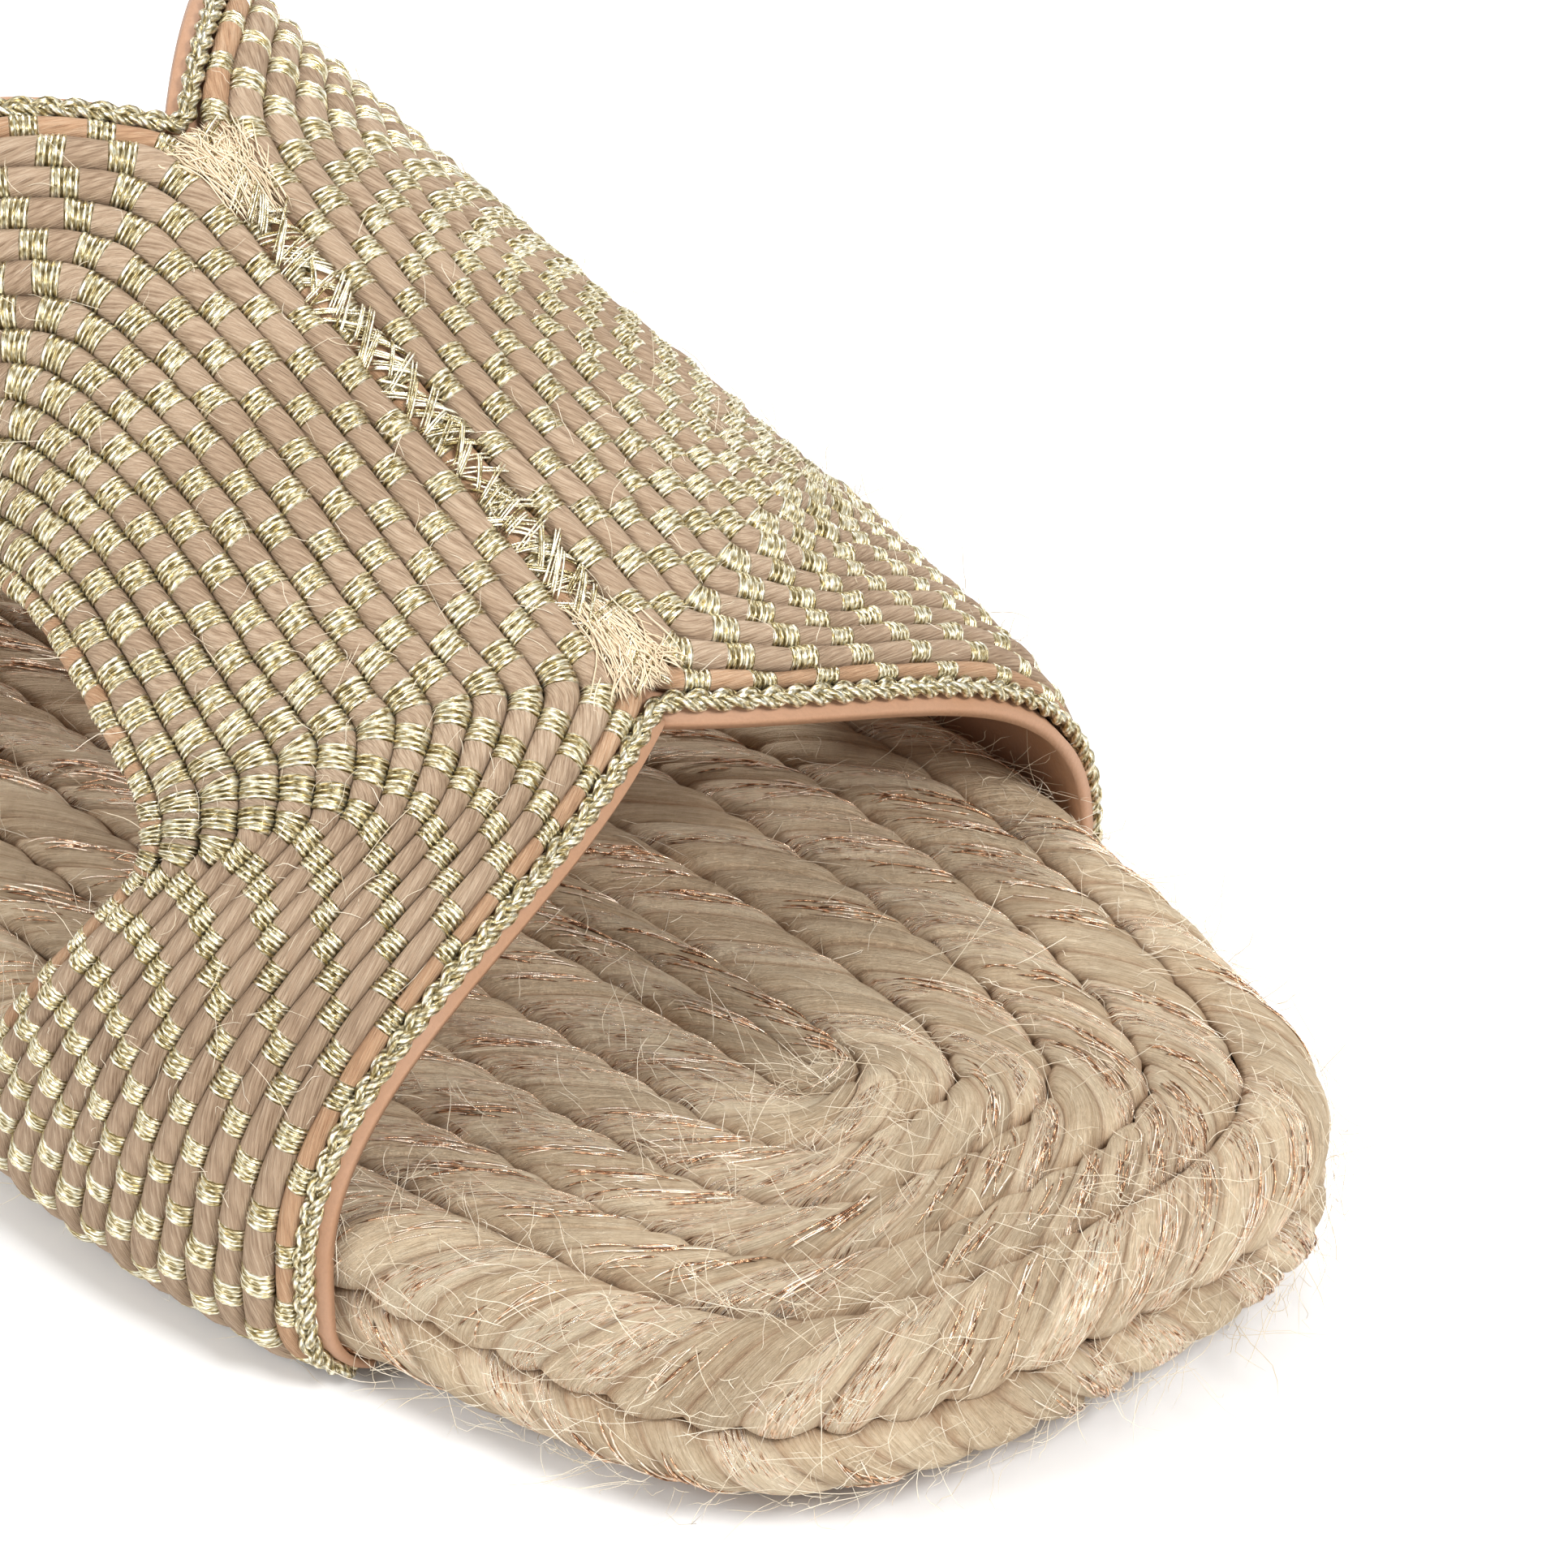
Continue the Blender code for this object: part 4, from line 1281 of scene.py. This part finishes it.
def tuft_fibres(station, toward, count, rng):
    """A brush of raw fibres combed along the seam to its end, as paths of threads. The seam lies
    on the side given by toward, +1 to the heel and -1 to the toe."""
    steps = np.linspace(0, 1, 8)
    paths = []
    for _ in range(count):
        start = station + toward * rng.uniform(0.0020, 0.0100)
        t = lerp(start, station - toward * rng.uniform(-0.0020, 0.0008), steps)
        g = rng.normal(0, 0.0012) + rng.normal(0, 0.0016) * steps + 0.0003 * np.sin(TAU * (steps + rng.random()))
        height = 0.0032 + 0.0009 * rng.random() * np.sin(math.pi * steps) + rng.uniform(0, 0.0005)
        paths.append(across_seam(t, g, height))
    return np.array(paths)


class SANDAL_OT_seam(bpy.types.Operator):
    """Sews the two bands together along the instep, and ends the seam in tufts of raw jute"""

    bl_idname = "sandal.seam"
    bl_label = "Seam"

    def execute(self, context):
        colours = context.scene.sandal_colours
        rng = np.random.default_rng(31)
        stitches = GridPiece("seam_stitches")
        add_threads(stitches, seam_stitches(rng), THREAD_RADIUS, 5)
        stitches.finish(foil_finish("gold_stitch", colours.gold_dark, colours.gold, colours.gold_light), "edging")
        tufts = GridPiece("seam_tufts")
        for station, toward in ((FRONT_APEX, 1), (REAR_APEX, -1)):
            add_threads(tufts, tuft_fibres(station, toward, TUFT_COUNT, rng), THREAD_RADIUS * 0.7, 4)
        tufts.finish(hair_finish("raw_jute", colours.strand, colours.strand_light), "upper")
        return {"FINISHED"}


# Loose fibres

FIBRE_POINTS = 7


def loose_fibres(roots, normals, runs, lengths, rng):
    """Curved paths that leave their roots at a low angle and wander."""
    count = len(roots)
    steps = np.linspace(0, 1, FIBRE_POINTS)[None, :, None]
    aside = np.cross(normals, runs)
    heading = rng.normal(0, 0.9, (count, 1))
    leave = rng.uniform(0.05, 1.0, (count, 1)) ** 2
    start = unit(runs * np.cos(heading) + aside * np.sin(heading) + normals * leave)
    pull = unit(rng.normal(0, 1, (count, 3)) - 0.5 * normals) * rng.uniform(0.2, 0.9, (count, 1))
    path = start[:, None] * steps + pull[:, None] * steps**2 * 0.8
    curl = unit(rng.normal(0, 1, (count, 3)))[:, None] * rng.uniform(0.04, 0.22, (count, 1, 1))
    path += curl * np.sin(TAU * (steps * rng.uniform(0.5, 1.6, (count, 1, 1)))) * steps
    return roots[:, None] + path * lengths[:, None, None]


def sole_roots(count, rng):
    """Random points on the braid's side and top, with their normals and the braid's direction."""
    turn = CoilTurn(0.0, 0.006)
    place = rng.uniform(0, turn.strands, count)
    x, t, mid_x, mid_t = turn.edge(place)
    reach = np.hypot(x - mid_x, t - mid_t)
    inward = np.stack(((mid_x - x) / reach, (mid_t - t) / reach, np.zeros(count)), axis=1)
    inset, height, angle = side_path(rng.uniform(0, 1, count), reach, True)
    low_inset, low_height, low_angle = side_path(rng.uniform(0.2, 1, count), reach, False)
    low = rng.random(count) < 0.35
    on_top = rng.random(count) < 0.30
    inset = np.where(low, low_inset, inset)
    height = np.where(low, low_height, height)
    angle = np.where(low, low_angle, angle)
    inset = np.where(on_top, rng.uniform(0.1, 0.95, count) * reach, inset)
    height = np.where(on_top, BRAID_HEIGHT, height) - 0.0006
    angle = np.where(on_top, math.pi, angle)
    y = t - SOLE_LENGTH / 2
    roots = np.stack((x, y, SOLE_FLOOR + spring_lift(t) + height), axis=1) + inward * inset[:, None]
    normals = -inward * np.sin(angle)[:, None]
    normals[:, 2] = -np.cos(angle)
    runs = np.stack((-inward[:, 1], inward[:, 0], np.zeros(count)), axis=1)
    return roots, normals, runs


def upper_roots(count, rng):
    """Random points on the cords, with their normals and the cords' direction."""
    roots, normals, runs = [], [], []
    for side in (-1, 1):
        for _ in range(count // 2):
            line = band_line(rng.uniform(0.02, 0.98), side)
            k = rng.integers(LOW_STEPS, len(line) - LOW_STEPS)
            t, g = line[k : k + 1].T
            roots.append(LASTS[side].wall(t, g, LINING_THICKNESS + CORD_HEIGHT - 0.0002)[0])
            normals.append(LASTS[side].normal(t, g)[0])
            ahead = LASTS[side].point(*line[k + 1 : k + 2].T)[0] - LASTS[side].point(t, g)[0]
            runs.append(unit(ahead))
    return np.array(roots), np.array(normals), np.array(runs)


class SANDAL_OT_fuzz(bpy.types.Operator):
    """Strews loose jute fibres over the braid, and a few over the cords"""

    bl_idname = "sandal.fuzz"
    bl_label = "Loose Fibres"

    def execute(self, context):
        sizes, colours = context.scene.sandal_sizes, context.scene.sandal_colours
        rng = np.random.default_rng(47)
        material = hair_finish("jute_fibre", colours.hair, colours.hair_light)
        for name, slot, roots, longest in (
            ("sole_fuzz", "rope_sole", sole_roots(sizes.fuzz_count, rng), sizes.fuzz_length),
            ("upper_fuzz", "upper", upper_roots(sizes.fuzz_count // 7, rng), sizes.fuzz_length * 0.6),
        ):
            count = len(roots[0])
            lengths = rng.uniform(0.22, 1.0, count) ** 1.4 * longest
            paths = loose_fibres(*roots, lengths, rng)
            paths[..., 2] = np.maximum(paths[..., 2], 0.0006)
            piece = GridPiece(name)
            add_threads(piece, paths, rng.uniform(0.00002, 0.00004, count), 3)
            piece.finish(material, slot)
        return {"FINISHED"}


class SANDAL_OT_outsole(bpy.types.Operator):
    """Finishes the outsole as tan sheet rubber"""

    bl_idname = "sandal.outsole"
    bl_label = "Outsole"

    def execute(self, context):
        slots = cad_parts["outsole"].material_slots
        slots[0].material = outsole_finish(context.scene.sandal_colours)
        return {"FINISHED"}


# The stage


def add_light(name, location, target, size, energy):
    data = bpy.data.lights.new(name, "AREA")
    data.shape = "DISK"
    data.size = size
    data.energy = energy
    light = bpy.data.objects.new(name, data)
    light.location = location
    light.rotation_euler = (Vector(target) - Vector(location)).to_track_quat("-Z", "Y").to_euler()
    bpy.context.scene.collection.objects.link(light)
    return light


class SANDAL_OT_stage(bpy.types.Operator):
    """Sets the pale floor, the soft lights and the camera"""

    bl_idname = "sandal.stage"
    bl_label = "Stage"

    def execute(self, context):
        stage = context.scene.sandal_stage
        target = Vector(stage.target)
        shell = bmesh.new()
        bmesh.ops.create_grid(shell, x_segments=1, y_segments=1, size=4.0)
        mesh = bpy.data.meshes.new("floor")
        shell.to_mesh(mesh)
        shell.free()
        finish = Finish("floor_paper", roughness=0.9, specular=0.1)
        cloud = finish.noise(finish.place(), 3.0, 2.0)
        mesh.materials.append(finish.apply(base_color=finish.shaded(tuple(stage.floor), 0.995 + 0.01 * cloud)))
        floor = bpy.data.objects.new("floor", mesh)
        context.scene.collection.objects.link(floor)
        world = bpy.data.worlds.new("studio")
        world.use_nodes = True
        backdrop = world.node_tree.nodes["Background"].inputs
        backdrop[0].default_value = (1.0, 1.0, 1.0, 1.0)
        backdrop[1].default_value = 0.56
        context.scene.world = world
        add_light("key", (-0.05, -0.95, 1.0), target, 0.45, 15.0)
        add_light("side", (-0.95, 0.15, 0.75), target, 0.5, 7.0)
        add_light("back", (0.6, 0.55, 1.0), target, 0.45, 9.0)
        context.scene.view_settings.view_transform = "Standard"
        camera = bpy.data.objects.new("camera", bpy.data.cameras.new("camera"))
        a, e = stage.azimuth, stage.elevation
        back = Vector((math.sin(a) * math.cos(e), -math.cos(a) * math.cos(e), math.sin(e)))
        camera.location = target + back * stage.distance
        camera.rotation_euler = (-back).to_track_quat("-Z", "Y").to_euler()
        camera.data.angle = stage.view_angle
        camera.data.clip_start = 0.01
        context.scene.collection.objects.link(camera)
        context.scene.camera = camera
        return {"FINISHED"}


class SANDAL_PT_panel(bpy.types.Panel):
    """Lists the sandal's operators and properties"""

    bl_idname = "SANDAL_PT_panel"
    bl_label = "Jute Slide"
    bl_space_type = "VIEW_3D"
    bl_region_type = "UI"
    bl_category = "Sandal"

    def draw(self, context):
        for operator in OPERATORS:
            self.layout.operator(operator.bl_idname)
        for group in (context.scene.sandal_sizes, context.scene.sandal_colours, context.scene.sandal_stage):
            box = self.layout.box()
            for name in group.__annotations__:
                box.prop(group, name)


OPERATORS = (
    SANDAL_OT_stage,
    SANDAL_OT_outsole,
    SANDAL_OT_rope_sole,
    SANDAL_OT_lining,
    SANDAL_OT_cords,
    SANDAL_OT_edging,
    SANDAL_OT_seam,
    SANDAL_OT_fuzz,
)
CLASSES = (SandalSizes, SandalColours, SandalStage, *OPERATORS, SANDAL_PT_panel)


def register():
    for kind in CLASSES:
        bpy.utils.register_class(kind)
    bpy.types.Scene.sandal_sizes = bpy.props.PointerProperty(type=SandalSizes)
    bpy.types.Scene.sandal_colours = bpy.props.PointerProperty(type=SandalColours)
    bpy.types.Scene.sandal_stage = bpy.props.PointerProperty(type=SandalStage)


def unregister():
    del bpy.types.Scene.sandal_stage
    del bpy.types.Scene.sandal_colours
    del bpy.types.Scene.sandal_sizes
    for kind in reversed(CLASSES):
        bpy.utils.unregister_class(kind)


def main():
    register()
    for operator in OPERATORS:
        group, name = operator.bl_idname.split(".")
        getattr(getattr(bpy.ops, group), name)()


if __name__ == "__main__":
    main()
